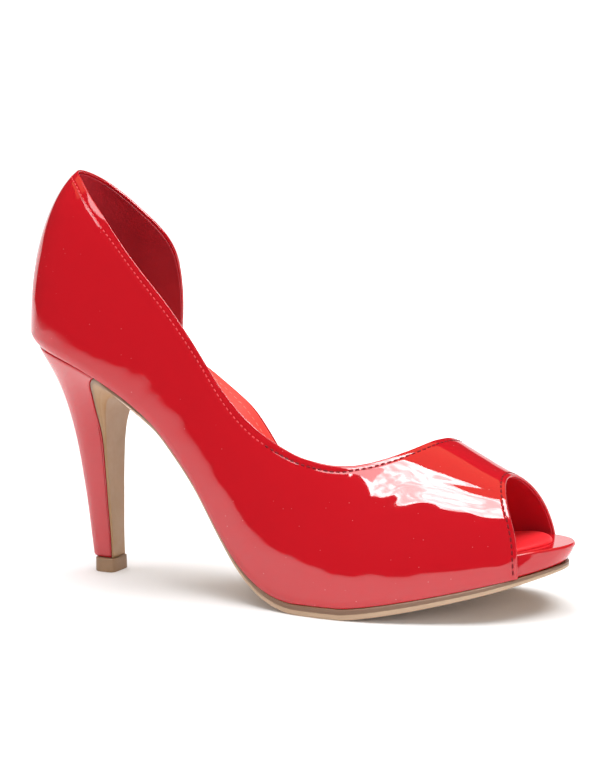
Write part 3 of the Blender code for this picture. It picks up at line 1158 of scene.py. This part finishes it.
    def shell(self, name: str, outer: float, inner: float, low: float, high: float,
              finish: bpy.types.Material, grooved: bool) -> Tuple[bpy.types.Object, Array, Array, Array]:
        """One closed layer of the wall with half-round rims.

        Args:
            name: the piece's name.
            outer: its outer face, metres outside the wall's middle.
            inner: its inner face.
            low: how far the lower rim stays above the lower edge.
            high: how far the upper rim stays under the upper edge.
            finish: its material.
            grooved: whether the stitch lines are sunk.

        Returns:
            The piece, its outer points, normals and distances from the upper edge.
        """
        radius = (outer - inner) / 2
        points, normal, up, depth = self.sheet(low + radius, high + radius)
        total = depth[:, :1] + low + radius
        p = self.run()[:, None]
        blend = self.peep_blend
        after = smooth(PEEP_START - blend, PEEP_START + blend, p)
        before = 1 - smooth(PEEP_STOP - blend, PEEP_STOP + blend, p)
        sink = self.grooves(depth, total, after * before) if grooved else np.zeros_like(depth)
        from_end = np.minimum(np.arange(len(p)), np.arange(len(p))[::-1])
        end = np.clip(from_end / self.round_end, 0.0, 1.0)
        plump = np.sqrt(1.0 - (1.0 - end) ** 2)[:, None, None]
        middle = points + normal * (outer + inner) / 2
        half = radius * np.maximum(plump, self.thin_end)
        face_out = middle + normal * (half + sink[..., None] * plump)
        face_in = middle - normal * half
        turn = np.linspace(0.0, np.pi, 11)[1:-1]

        def rim(column: int, sign: float, angles: Array) -> Array:
            """Half round over one edge of the wall."""
            spread = np.cos(angles)[None, :, None] * normal[:, column, None]
            lift = sign * np.sin(angles)[None, :, None] * up[:, column, None]
            return middle[:, column, None] + (spread + lift) * half

        ring = np.concatenate([
            face_out, rim(-1, 1.0, turn), face_in[:, ::-1], rim(0, -1.0, turn[::-1]),
        ], axis=1)
        faces = Surface.ring_faces(*ring.shape[:2])
        values = {"front": smooth(*LINING_FRONT, ring[..., 0])}
        return Surface.build(name, ring, faces, finish, values), face_out, normal, depth

    def build(self, leather: bpy.types.Material, lining: bpy.types.Material,
              thread: bpy.types.Material, bright: bpy.types.Material) -> List[bpy.types.Object]:
        """Build shell, lining and stitches.

        Args:
            leather: material of the shell.
            lining: material of the lining.
            thread: material of the stitches on the forepart.
            bright: material of the stitches on the quarter, the same thread in a paler colour that paints
                its highlights.

        Returns:
            The pieces.
        """
        half = self.last.wall / 2
        cut = half - self.leather
        shell, face, normal, depth = self.shell(
            "upper_leather", half, cut, self.last.gap, 0.0, leather, True,
        )
        inner, _, _, _ = self.shell(
            "upper_lining", cut - self.leather_gap, -half, self.lining_low, self.lining_high, lining, False,
        )
        pieces = [shell, inner]
        line = self.stitch_line()
        trim = slice(self.stitch_trim, -self.stitch_trim)
        path = self.trace(face, depth, line)[trim]
        side = self.trace(normal, depth, line)[trim]
        # The lateral row changes thread where it comes forward of quarter_x; behind it the same thread is
        # painted paler, a painted highlight on the glossy stitches
        split = int(np.argmax((path[:, 1] < 0) & (path[:, 0] > self.quarter_x)))
        quarter = StitchRow(pitch=0.0021, length=0.0012, radius=0.0003)
        row = StitchRow()
        pieces.append(quarter.build("quarter_stitches", path[:split], side[:split], bright))
        pieces.append(row.build("topline_stitches", path[split - 1:], side[split - 1:], thread))
        total = depth[:, :1] + self.last.gap + self.leather / 2
        line = total - self.stitch_front
        p = self.run()
        keep = (p > PEEP_START) & (p < PEEP_STOP)
        path = self.trace(face, depth, line)[keep]
        side = self.trace(normal, depth, line)[keep]
        pieces.append(row.build("peep_stitches", path, side, thread))
        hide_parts("upper")
        return pieces


Height = Callable[[Array, Array], Array]
Inset = Union[float, Array]


@dataclass(frozen=True)
class Layer:
    """A layer with the shoe's outline: a side wall of rings and smooth faces above and below."""

    last: Last
    rows: int = 260
    across: int = 40

    def stations(self) -> Array:
        """Stations, closer together at both ends.

        Returns:
            Shares from 0 to 1.
        """
        even = np.linspace(0.0, 1.0, self.rows)
        return 0.45 * even + 0.275 * (1 - np.cos(np.pi * even))

    def build(self, name: str, rings: Sequence[Tuple[Inset, Height]],
              finish: bpy.types.Material, spread: Tuple[Inset, Inset] = (0.0, 0.0)) -> bpy.types.Object:
        """Make the layer.

        Args:
            name: the piece's name.
            rings: inset from the outline and height function, from the underside to the top.
            finish: its material.
            spread: how much further out the lateral and the medial side lie.

        Returns:
            The piece.
        """
        t = self.stations()
        sides: Dict[Side, List[Array]] = {Side.LATERAL: [], Side.MEDIAL: []}
        for inset, height in rings:
            for side in Side:
                out = spread[0] if side is Side.LATERAL else spread[1]
                x, y = self.last.outline(side.value * t, out - inset)
                sides[side].append(np.stack([x, y, height(x, y)], -1))
        u = ((1 - np.cos(np.pi * np.linspace(0.0, 1.0, self.across))) / 2)[None, 1:-1, None]

        def face(ring: int, height: Height) -> Array:
            """Points between both sides of one ring, on its height."""
            a = sides[Side.LATERAL][ring][:, None]
            b = sides[Side.MEDIAL][ring][:, None]
            grid = a * (1 - u) + b * u
            grid[..., 2] = height(grid[..., 0], grid[..., 1])
            return grid

        lateral = np.stack(sides[Side.LATERAL], 1)
        medial = np.stack(sides[Side.MEDIAL], 1)[:, ::-1]
        top = face(-1, rings[-1][1])
        under = face(0, rings[0][1])[:, ::-1]
        ring = np.concatenate([lateral, top, medial, under], axis=1)
        values = {"front": smooth(*LAYER_FRONT, ring[..., 0])}
        faces = Surface.ring_faces(*ring.shape[:2], capped=False)
        return Surface.build(name, ring, faces, finish, values)


@dataclass(frozen=True)
class Platform:
    """Wrapped platform that carries on as the insole board, with a lip round the toe."""

    last: Last
    foot_inset: float = 0.0004
    bed_inset: float = 0.0030
    bevel_inset: float = 0.0015
    toe_reach: float = 0.0018
    toe_undercut: float = 0.0034
    toe_from: float = 0.86
    lip: float = 0.0009
    swell: float = 0.0003
    wall_rings: int = 14
    lip_rings: int = 12

    def build(self, finish: bpy.types.Material) -> bpy.types.Object:
        """Make the wrap: an undercut side wall at the toe and a rounded upper edge.

        Args:
            finish: its material.

        Returns:
            The piece.
        """
        last = self.last
        layer = Layer(last)
        t = layer.stations()
        half = last.wall / 2
        toe = smooth(self.toe_from, 0.95, t)
        foot = half + self.foot_inset + last.tuck(t) + self.toe_undercut * smooth(self.toe_from, 1.0, t)
        lip = half + self.bevel_inset - (self.bevel_inset - self.foot_inset) * toe
        top = half + self.bed_inset - self.toe_reach * toe

        def between(share: float, drop: float) -> Height:
            """Height at a share of the way from the sole up to a drop under the bed."""

            def height(x: Array, y: Array) -> Array:
                """The height at a place."""
                low = last.sole_top(x, y) + last.gap
                return low + (last.bed(x, y) - drop - low) * share
            return height

        rings: List[Tuple[Inset, Height]] = [(foot + 0.0003, between(0.0, self.lip))]
        for share in np.linspace(0.03, 1.0, self.wall_rings):
            swell = self.swell * math.sin(math.pi * share)
            rings.append((foot * (1 - share) + lip * share - swell, between(share, self.lip)))
        for angle in np.linspace(0.0, np.pi / 2, self.lip_rings)[1:]:
            inset = lip + (top - lip) * (1 - np.cos(angle))
            rings.append((inset, between(1.0, self.lip * (1 - np.sin(angle)))))
        piece = layer.build("platform_wrap", rings, finish)
        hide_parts("platform")
        return piece


@dataclass(frozen=True)
class Insole:
    """Soft coral sock on the insole board, with a stitch row along its edge."""

    last: Last
    thick: float = 0.0012
    inset: float = 0.0038
    toe_inset: float = 0.0060
    to_lining: float = 0.0024
    edge: float = 0.0016
    edge_rings: int = 10
    stitch_inset: float = 0.0074
    stitch_end: float = 0.62
    stitch_sunk: float = 0.00002

    def build(self, finish: bpy.types.Material, thread: bpy.types.Material) -> List[bpy.types.Object]:
        """Make the sock with a thinned edge, and its stitches.

        Args:
            finish: material of the sock.
            thread: material of the stitches.

        Returns:
            The pieces.
        """
        last = self.last
        layer = Layer(last)

        def level(rise: float) -> Height:
            """Height at a rise above the insole board."""
            return lambda x, y: last.bed(x, y) + rise

        stations = layer.stations()
        outer = self.inset + self.toe_inset * smooth(0.80, 1.0, stations)
        flap = abs(WING_END)
        out = self.to_lining * smooth(0.0, 0.05, stations)
        spread = (
            out * (1 - smooth(0.62, 0.74, stations)),
            out * (1 - smooth(flap - 0.05, flap - 0.008, stations)),
        )
        rings: List[Tuple[Inset, Height]] = [(outer + 0.0004, level(-0.0002)), (outer, level(0.00005))]
        for angle in np.linspace(0.0, np.pi / 2, self.edge_rings)[1:]:
            rings.append((outer + self.edge * (1 - np.cos(angle)), level(self.thick * np.sin(angle))))
        sock = layer.build("insole_sock", rings, finish, spread)
        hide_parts("insole")
        t = np.linspace(-self.stitch_end, self.stitch_end, 500)
        x, y = last.outline(t, -self.stitch_inset)
        path = np.stack([x, y, level(self.thick - self.stitch_sunk)(x, y)], -1)
        up = np.zeros_like(path)
        up[:, 2] = 1.0
        row = StitchRow(pitch=0.0027, length=0.0016, radius=0.00025)
        return [sock, row.build("insole_stitches", path, up, thread)]


@dataclass(frozen=True)
class Outsole:
    """Leather outsole that turns down the heel's breast as a flap."""

    last: Last
    margin: float = 0.0007
    margin_run: Tuple[float, float] = (0.36, 0.56)
    toe_inset: float = 0.0052
    toe_run: Tuple[float, float] = (0.80, 1.0)
    waist_inset: float = 0.0006
    waist_start: Tuple[float, float] = (0.20, 0.30)
    waist_stop: Tuple[float, float] = (0.40, 0.58)
    flap_reach: float = 0.0200
    turn_x: float = 0.0255
    turn_end: float = 0.0450
    corner: float = 0.00045
    corner_share: float = 0.16
    sole_rows: int = 230
    flap_rows: int = 90
    across: int = 40

    def build(self, finish: bpy.types.Material) -> bpy.types.Object:
        """Make the sole: rows from the toe back to the breast, then down the flap.

        Args:
            finish: its material.

        Returns:
            The piece.
        """
        last = self.last
        start = last.breast_x + last.gap
        ends = [np.interp(start, side[0], last.stations) for side in (last.lateral, last.medial)]
        even = np.linspace(0.0, 1.0, self.sole_rows)
        ease = (0.6 * even + 0.4 * (1 - np.cos(np.pi * even)) / 2)[::-1]
        down = np.linspace(0.0, 1.0, self.flap_rows)
        flap = Curve(FLAP)
        heel = Curve(HEEL_LEVELS)
        behind = flap.at(down, 0)
        base = last.heel_base
        seat = float(last.sole_top(last.breast_x, 0.0)) - base
        half = last.seat_half * heel.at(behind, 2)
        corner_x = last.breast_x * heel.at(behind, 1) + last.gap
        corner_z = base + (last.sole_top(corner_x, np.zeros_like(corner_x)) - base) * behind
        front_x = self.flap_reach * flap.at(down, 1)
        front_z = base + seat * flap.at(down, 2)

        def edge_line(side: Side, end: float, inset: float) -> Tuple[Array, Array]:
            """Edge of the sole on one side, from the toe back to the breast."""
            t = end + (1.0 - end) * ease
            out = last.wall / 2 - last.tuck(t) + self.margin * smooth(*self.margin_run, t)
            out = out - self.waist_inset * smooth(*self.waist_start, t) * (1 - smooth(*self.waist_stop, t))
            out = out - self.toe_inset * smooth(*self.toe_run, t)
            return last.outline(side.value * t, out - inset)

        def body(x: Array, y: Array, level: float) -> Array:
            """Points of the sole at a level, with the underside turned away from the breast."""
            shift = (self.turn_x - last.breast_x) * (1 - smooth(last.breast_x, self.turn_end, x))
            top = np.stack([x, y, last.sole_top(x, y)], -1)
            under = np.stack([x + shift, y, last.sole_under(x + shift, y)], -1)
            return under * (1 - level) + top * level

        waist = np.interp(front_x, last.medial[0], np.abs(last.medial[1]))[:, None]

        def tail(y: Array, level: float) -> Array:
            """Points of the flap at a level, its front kept inside the waist on the medial side."""
            spread = np.zeros_like(y)
            back = np.stack([corner_x[:, None] + spread, y, corner_z[:, None] + spread], -1)
            held = np.minimum(y, waist)
            front = np.stack([front_x[:, None] + spread, held, front_z[:, None] + spread], -1)
            return front * (1 - level) + back * level

        def strip(inset: float, level: float, u: Array) -> Array:
            """Sole and flap at one inset and level, from the lateral edge at 0 to the medial edge at 1."""
            lx, ly = edge_line(Side.LATERAL, ends[0], inset)
            mx, my = edge_line(Side.MEDIAL, ends[1], inset)
            x = lx[:, None] * (1 - u) + mx[:, None] * u
            y = ly[:, None] * (1 - u) + my[:, None] * u
            wide = (half - inset)[:, None] * (2 * u - 1)
            return np.concatenate([body(x, y, level), tail(wide, level)])

        bend = np.linspace(0.0, np.pi / 2, 6)
        low = [(self.corner * (1 - math.sin(a)), self.corner_share * (1 - math.cos(a))) for a in bend]
        side = low + [(0.0, level) for level in (0.25, 0.34, 0.42)] + list(SEAM)
        side += [(0.0, level) for level in (0.58, 0.66, 0.75)]
        side += [(inset, 1 - level) for inset, level in low[::-1]]
        inner = ((1 - np.cos(np.pi * np.linspace(0.0, 1.0, self.across))) / 2)[None, 1:-1]
        left = [strip(inset, level, np.zeros((1, 1))) for inset, level in side]
        right = [strip(inset, level, np.ones((1, 1))) for inset, level in side[::-1]]
        top = strip(self.corner, 1.0, inner)
        under = strip(self.corner, 0.0, inner[:, ::-1])
        ring = np.concatenate(left + [top] + right + [under], axis=1)
        levels = [level for _, level in side]
        count = inner.shape[1]
        level = np.array(levels + [1.0] * count + levels[::-1] + [0.0] * count)
        rim = np.array([1.0 if 0.02 < k < 0.98 else 0.5 for k in levels])
        rim = np.concatenate([rim, np.zeros(count), rim[::-1], np.zeros(count)])
        rows = len(ring)
        sole = 1.0 - smooth(self.sole_rows - 4.0, self.sole_rows + 6.0, np.arange(rows))[:, None]
        seam = smooth(0.80, 0.97, level)[None] * (rim[None] > 0)
        values = {"level": np.tile(level, (rows, 1)), "rim": sole * rim + (1 - sole) * seam}
        piece = Surface.build("outsole_leather", ring, Surface.ring_faces(*ring.shape[:2]), finish, values)
        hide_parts("outsole")
        return piece


@dataclass(frozen=True)
class Heel:
    """Tall slim heel covered in the upper's leather."""

    last: Last
    seat_back: float = 0.0290
    fold: float = 0.0006
    tuck_top: float = 0.0016
    tuck_foot: float = 0.0002
    outline_points: int = 96
    breast_points: int = 24
    levels: int = 120

    def build(self, finish: bpy.types.Material) -> bpy.types.Object:
        """Make the cover: level rings of the seat's outline scaled to the heel's back, breast and width.

        Args:
            finish: its material.

        Returns:
            The piece.
        """
        last = self.last
        count = self.outline_points
        breast_x = last.breast_x
        first = np.interp(breast_x, last.lateral[0], last.stations)
        second = -np.interp(breast_x, last.medial[0], last.stations)
        t = np.linspace(first, second, count)
        ring_x, ring_y = last.outline(t, last.wall / 2 - last.tuck(t))
        ring_x[[0, -1]] = breast_x
        shape_x = (ring_x - breast_x) / (breast_x - ring_x.min())
        shape_y = ring_y / np.abs(ring_y).max()
        table = Curve(HEEL_LEVELS)
        levels = np.linspace(0.0, 1.0, self.levels)
        sizes = (self.seat_back, breast_x, last.seat_half)
        back, breast, half = (size * table.at(levels, k)[:, None] for k, size in enumerate(sizes))
        tuck = self.tuck_top * smooth(0.975, 1.0, levels) + self.tuck_foot * (1 - smooth(0.0, 0.008, levels))
        tuck = tuck[:, None]
        x = breast + (breast - back - tuck) * shape_x[None, :]
        y = (half - tuck) * shape_y[None, :]
        even = np.linspace(0.0, 1.0, self.breast_points)[None, :]
        face_x = np.broadcast_to(breast, (self.levels, self.breast_points))
        face_y = y[:, -1:] * (1 - even) + y[:, :1] * even
        all_x = np.concatenate([x[:, 1:-1], face_x], 1)
        all_y = np.concatenate([y[:, 1:-1], face_y], 1)
        plan = np.stack([all_x, all_y], -1)
        plan = self.rounded(plan, (count - 2, count - 2 + self.breast_points - 1))
        z = last.heel_base + (last.sole_top(plan[..., 0], plan[..., 1]) - last.heel_base) * levels[:, None]
        ring = np.concatenate([plan, z[..., None]], -1)
        low = np.repeat(ring[:1].mean(axis=1, keepdims=True), ring.shape[1], axis=1)
        high = np.repeat(ring[-1:].mean(axis=1, keepdims=True), ring.shape[1], axis=1)
        high[..., 2] = last.sole_top(high[..., 0], high[..., 1])
        steps = np.linspace(0.0, 1.0, 9)[1:, None, None]
        lid = ring[-1:] * (1 - steps) + high * steps
        lid[..., 2] = last.sole_top(lid[..., 0], lid[..., 1])
        ring = np.concatenate([low, ring, lid])
        faces = Surface.ring_faces(*ring.shape[:2], capped=False)
        piece = Surface.build("heel_cover", ring, faces, finish)
        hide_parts("heel")
        return piece

    def rounded(self, plan: Array, corners: Tuple[int, int]) -> Array:
        """Replace both breast corners by small bends between points at the fold's distance.

        Args:
            plan: rings of x and y.
            corners: places of the corners in each ring.

        Returns:
            Rings with rounded corners.
        """
        s = np.linspace(0.0, 1.0, 7)[None, :, None]
        parts = []
        last_end = 0
        for at in corners:
            corner = plan[:, at]
            before = corner + unit(plan[:, at - 2] - corner) * self.fold
            after = corner + unit(plan[:, (at + 2) % plan.shape[1]] - corner) * self.fold
            bend = (1 - s) ** 2 * before[:, None] + 2 * s * (1 - s) * corner[:, None]
            bend = bend + s ** 2 * after[:, None]
            parts += [plan[:, last_end:at - 1], bend]
            last_end = at + 2
        parts.append(plan[:, last_end:])
        return np.concatenate(parts, axis=1)


@dataclass(frozen=True)
class TopPiece:
    """Small hard tip of the heel."""

    centre: float = 0.0007
    half_long: float = 0.0050
    half_wide: float = 0.0060
    height: float = 0.0053
    corner: float = 0.0003
    front_power: float = 0.35
    back_power: float = 0.85
    taper: float = 0.015

    def build(self, finish: bpy.types.Material) -> bpy.types.Object:
        """Make the tip: rings of a rounded D with soft corners, slightly smaller at the top.

        Args:
            finish: its material.

        Returns:
            The piece.
        """
        turn = np.linspace(0.0, 2 * np.pi, 144, endpoint=False)
        power = np.where(np.cos(turn) > 0, self.front_power, self.back_power)
        x = np.sign(np.cos(turn)) * np.abs(np.cos(turn)) ** power
        y = np.sign(np.sin(turn)) * np.abs(np.sin(turn)) ** power
        bend = np.linspace(0.0, np.pi / 2, 6)
        low = [(self.corner * (1 - math.sin(a)), self.corner * (1 - math.cos(a))) for a in bend]
        high = [(inset, self.height - rise) for inset, rise in low[::-1]]
        walls = [(0.0, z) for z in np.linspace(self.corner, self.height - self.corner, 14)[1:-1]]
        rings = [(0.0, 0.0)] + low + walls + high + [(0.0, self.height)]
        inset = np.array([ring[0] for ring in rings])[:, None]
        z = np.array([ring[1] for ring in rings])[:, None]
        taper = 1 - self.taper * z / self.height
        points = np.stack([
            self.centre + (self.half_long - np.minimum(inset, self.half_long)) * taper * x[None],
            (self.half_wide - np.minimum(inset, self.half_wide)) * taper * y[None],
            z + 0 * x[None],
        ], -1)
        points[0] = (self.centre, 0.0, 0.0)
        points[-1] = (self.centre, 0.0, self.height)
        faces = Surface.ring_faces(*points.shape[:2], capped=False)
        piece = Surface.build("heel_tip", points, faces, finish)
        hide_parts("top_piece")
        return piece


@dataclass(frozen=True)
class Pump:
    """The whole shoe."""

    last: Last = Last()

    def build(self) -> List[bpy.types.Object]:
        """Build and dress every piece.

        Returns:
            All the pieces.
        """
        patent = PatentFinish("red_patent", specks=0.5).make()
        wrap = PatentFinish("red_wrap", gloss=0.08, wave=0.0001).make()
        heel = PatentFinish("red_heel", wave=0.00018).make()
        lining = LiningFinish().make()
        # The sock's redder toe colour is painted red light bounced off the patent upper inside the toe
        coral = LiningFinish(
            "coral_leather", heel=(0.88, 0.056, 0.040), shade=(0.82, 0.048, 0.034), toe=(0.80, 0.016, 0.024),
        ).make()
        sole = EdgeFinish().make()
        tip = LeatherFinish("tan_tip", (0.27, 0.155, 0.080), (0.35, 0.215, 0.12)).make()
        thread = ThreadFinish("red_thread", (0.20, 0.004, 0.009)).make()
        # The quarter's stitches: the same red thread painted paler, a painted highlight
        bright = ThreadFinish("thread_painted_highlight", (0.72, 0.06, 0.07)).make()
        pale = ThreadFinish("pale_thread", (0.95, 0.22, 0.17)).make()
        pieces = Upper(self.last).build(patent, lining, thread, bright)
        pieces.append(Platform(self.last).build(wrap))
        pieces += Insole(self.last).build(coral, pale)
        pieces.append(Outsole(self.last).build(sole))
        pieces.append(Heel(self.last).build(heel))
        pieces.append(TopPiece().build(tip))
        for piece in pieces:
            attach(piece, BODY)
        return pieces


@dataclass(frozen=True)
class Studio:
    """White table top and backdrop, lamps and the photo's camera."""

    azimuth: float = math.radians(26.0)
    elevation: float = math.radians(7.3)
    distance: float = 0.75
    lens: float = 96.25
    roll: float = math.radians(-0.6)
    target: Tuple[float, float, float] = (0.0842, 0.0, 0.0785)
    floor_half: float = 4.0
    floor_run: Tuple[float, float] = (-2.4, 1.6)
    # Where along Y the floor's painted glow rises
    brighter: Tuple[float, float] = (0.20, 0.90)
    dim: float = 0.04

    @staticmethod
    def glow(name: str, strength: float, uneven: float = 0.0, tint: Colour = WHITE) -> bpy.types.Material:
        """Material that only shines.

        Args:
            name: its name.
            strength: brightness.
            uneven: how much of it comes and goes in streaks.
            tint: its colour.

        Returns:
            The material.
        """
        g = Graph(name)
        cloud = g.noise(7.0, 4.0, 0.62).step(0.38, 0.60)
        colour = g.mix(cloud, tuple(value * (1.0 - uneven) for value in tint), tint)
        return g.finish(g.node("ShaderNodeEmission", {}, {"Color": colour, "Strength": strength}))

    @staticmethod
    def sheet(name: str, corners: Sequence[Sequence[float]], finish: bpy.types.Material) -> bpy.types.Object:
        """One flat face that belongs to the stage.

        Args:
            name: its name.
            corners: four points in order.
            finish: its material.

        Returns:
            The sheet.
        """
        mesh = bpy.data.meshes.new(name)
        mesh.from_pydata([tuple(corner) for corner in corners], [], [(0, 1, 2, 3)])
        mesh.materials.append(finish)
        made = bpy.data.objects.new(name, mesh)
        bpy.context.scene.collection.objects.link(made)
        made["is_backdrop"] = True
        return made

    def card(self, name: str, centre: Vector, size: Tuple[float, float], finish: bpy.types.Material,
             aim: Vector) -> bpy.types.Object:
        """A flat card that faces a point.

        Args:
            name: its name.
            centre: its middle.
            size: width and height.
            finish: its material.
            aim: the point it faces.

        Returns:
            The card.
        """
        turn = (aim - centre).to_track_quat("Z", "Y").to_matrix()
        corners = [(-0.5, -0.5), (0.5, -0.5), (0.5, 0.5), (-0.5, 0.5)]
        points = [centre + turn @ Vector((u * size[0], v * size[1], 0.0)) for u, v in corners]
        return self.sheet(name, points, finish)

    @staticmethod
    def lamp(name: str, place: Tuple[float, float, float], aim: Tuple[float, float, float],
             size: Tuple[float, float], power: float) -> bpy.types.Object:
        """A rectangular lamp that shiny surfaces don't mirror.

        Args:
            name: its name.
            place: where it hangs.
            aim: where it points.
            size: width and height.
            power: watts.

        Returns:
            The lamp.
        """
        data = bpy.data.lights.new(name, "AREA")
        data.shape = "RECTANGLE"
        data.size = size[0]
        data.size_y = size[1]
        data.energy = power
        made = bpy.data.objects.new(name, data)
        way = Vector(aim) - Vector(place)
        made.matrix_world = Matrix.Translation(place) @ way.to_track_quat("-Z", "Y").to_matrix().to_4x4()
        made.visible_glossy = False
        bpy.context.scene.collection.objects.link(made)
        return made

    def floor(self) -> None:
        """White paper table top with a painted glow that grows brighter towards the back."""
        g = Graph("white_paper")
        # Emission from dim at the front to near white at the back: painted light in place of the backdrop's
        # bounce onto the paper
        far = g.node("ShaderNodeSeparateXYZ", {}, {"Vector": g.position()})["Y"].step(*self.brighter)
        paper = g.principled({
            "Base Color": (0.92, 0.92, 0.92),
            "Roughness": 0.9,
            "Specular IOR Level": 0.1,
            "Emission Color": g.mix(far, (0.03, 0.03, 0.03), (0.95, 0.95, 0.95)),
            "Emission Strength": 1.0,
        })
        front, back = self.floor_run
        half = self.floor_half
        corners = ((-half, front, 0.0), (half, front, 0.0), (half, back, 0.0), (-half, back, 0.0))
        self.sheet("paper_floor", corners, g.finish(paper))

    @staticmethod
    def toward(azimuth: float, elevation: float, reach: float) -> Vector:
        """Point seen from the vamp.

        Args:
            azimuth: degrees from the camera's side towards the toe.
            elevation: degrees up.
            reach: metres away.

        Returns:
            The point.
        """
        a = math.radians(azimuth)
        e = math.radians(elevation)
        way = Vector((math.sin(a) * math.cos(e), -math.cos(a) * math.cos(e), math.sin(e)))
        return Vector(VAMP) + way * reach

    def lights(self) -> None:
        """Overhead bank and fills that leave no mirror image, and cards that light nothing but gloss."""
        self.lamp("overhead", (0.1, 0.25, 2.0), (0.1, 0.1, 0.0), (2.6, 2.2), 82.0)
        self.lamp("front_fill", (0.5, -1.9, 1.0), (0.08, 0.0, 0.06), (1.8, 1.2), 9.0)
        self.lamp("left_fill", (-1.7, -0.6, 0.9), (0.05, 0.0, 0.06), (1.2, 1.2), 8.0)
        self.lamp("toe_fill", (1.3, -0.7, 0.5), (0.15, 0.0, 0.04), (0.7, 0.7), 5.0)
        shine = self.glow("softbox_white", 18.0, 0.5)
        soft = self.glow("softbox_soft", 5.0)
        faint = self.glow("softbox_faint", 1.3, tint=(1.0, 0.42, 0.22))
        gentle = self.glow("softbox_gentle", 2.2)
        cards = (
            ("key_card", self.toward(27.0, 60.0, 1.1), (0.92, 0.70), shine),
            ("strip_card", self.toward(-18.0, 57.0, 1.1), (0.38, 0.26), soft),
            ("rim_card", self.toward(-40.0, 72.0, 1.1), (0.46, 0.40), gentle),
            ("roof_card", self.toward(27.0, 101.0, 1.2), (2.4, 1.1), faint),
        )
        for name, centre, size, finish in cards:
            made = self.card(name, centre, size, finish, Vector(VAMP))
            made.visible_diffuse = False
            made.visible_camera = False
            made.visible_shadow = False

    def backdrop(self) -> None:
        """White wall behind the table: a low strip that gloss may mirror and a high part that it may not."""
        glow = self.glow("backdrop_white", 1.12)
        walls = []
        for name, y, z, tall in (("backdrop_low", 1.5, 0.24, 0.5), ("backdrop_high", 1.52, 1.9, 3.4)):
            wall = self.card(name, Vector((0.0, y, z)), (8.0, tall), glow, Vector((0.0, 0.0, z)))
            wall.visible_diffuse = False
            walls.append(wall)
        walls[-1].visible_glossy = False

    def world(self) -> None:
        """Dim surroundings."""
        world = bpy.data.worlds.new("dim")
        world.use_nodes = True
        back = world.node_tree.nodes["Background"]
        back.inputs["Color"].default_value = (*WHITE, 1.0)
        back.inputs["Strength"].default_value = self.dim
        bpy.context.scene.world = world

    def camera(self) -> None:
        """The photo's view."""
        a = self.azimuth
        e = self.elevation
        back = Vector((math.sin(a) * math.cos(e), -math.cos(a) * math.cos(e), math.sin(e)))
        right = Vector((math.cos(a), math.sin(a), 0.0))
        up = back.cross(right)
        c = math.cos(self.roll)
        s = math.sin(self.roll)
        rolled_right = right * c + up * s
        rolled_up = up * c - right * s
        turn = Matrix((rolled_right, rolled_up, back)).transposed().to_4x4()
        data = bpy.data.cameras.new("photo_camera")
        data.sensor_width = 36.0
        data.sensor_fit = "AUTO"
        data.lens = self.lens
        data.clip_start = 0.02
        made = bpy.data.objects.new("photo_camera", data)
        made.matrix_world = Matrix.Translation(Vector(self.target) + back * self.distance) @ turn
        bpy.context.scene.collection.objects.link(made)
        bpy.context.scene.camera = made

    def build(self) -> None:
        """Set everything round the shoe."""
        self.floor()
        self.lights()
        self.backdrop()
        self.world()
        self.camera()
        view = bpy.context.scene.view_settings
        view.view_transform = "Standard"
        view.look = "None"


def plain(bounds: object) -> object:
    """Bounds as plain numbers.

    Args:
        bounds: nested boxes.

    Returns:
        The same, ready for JSON.
    """
    if isinstance(bounds, dict):
        return {str(key): plain(value) for key, value in bounds.items()}
    if isinstance(bounds, (list, tuple, Vector, np.ndarray)):
        return [plain(value) for value in bounds]
    return float(bounds) if isinstance(bounds, (int, float, np.floating)) else str(bounds)


def main() -> None:
    """Load the solids, dress the shoe, set the studio and measure both sizes."""
    logging.basicConfig(level=logging.INFO, format="%(name)s %(message)s")
    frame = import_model()
    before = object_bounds()
    LOG.info("frame loaded: %s", type(frame).__name__)
    Pump().build()
    Studio().build()
    sizes = {"solids": plain(before), "visual": plain(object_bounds())}


if __name__ == "__main__":
    main()
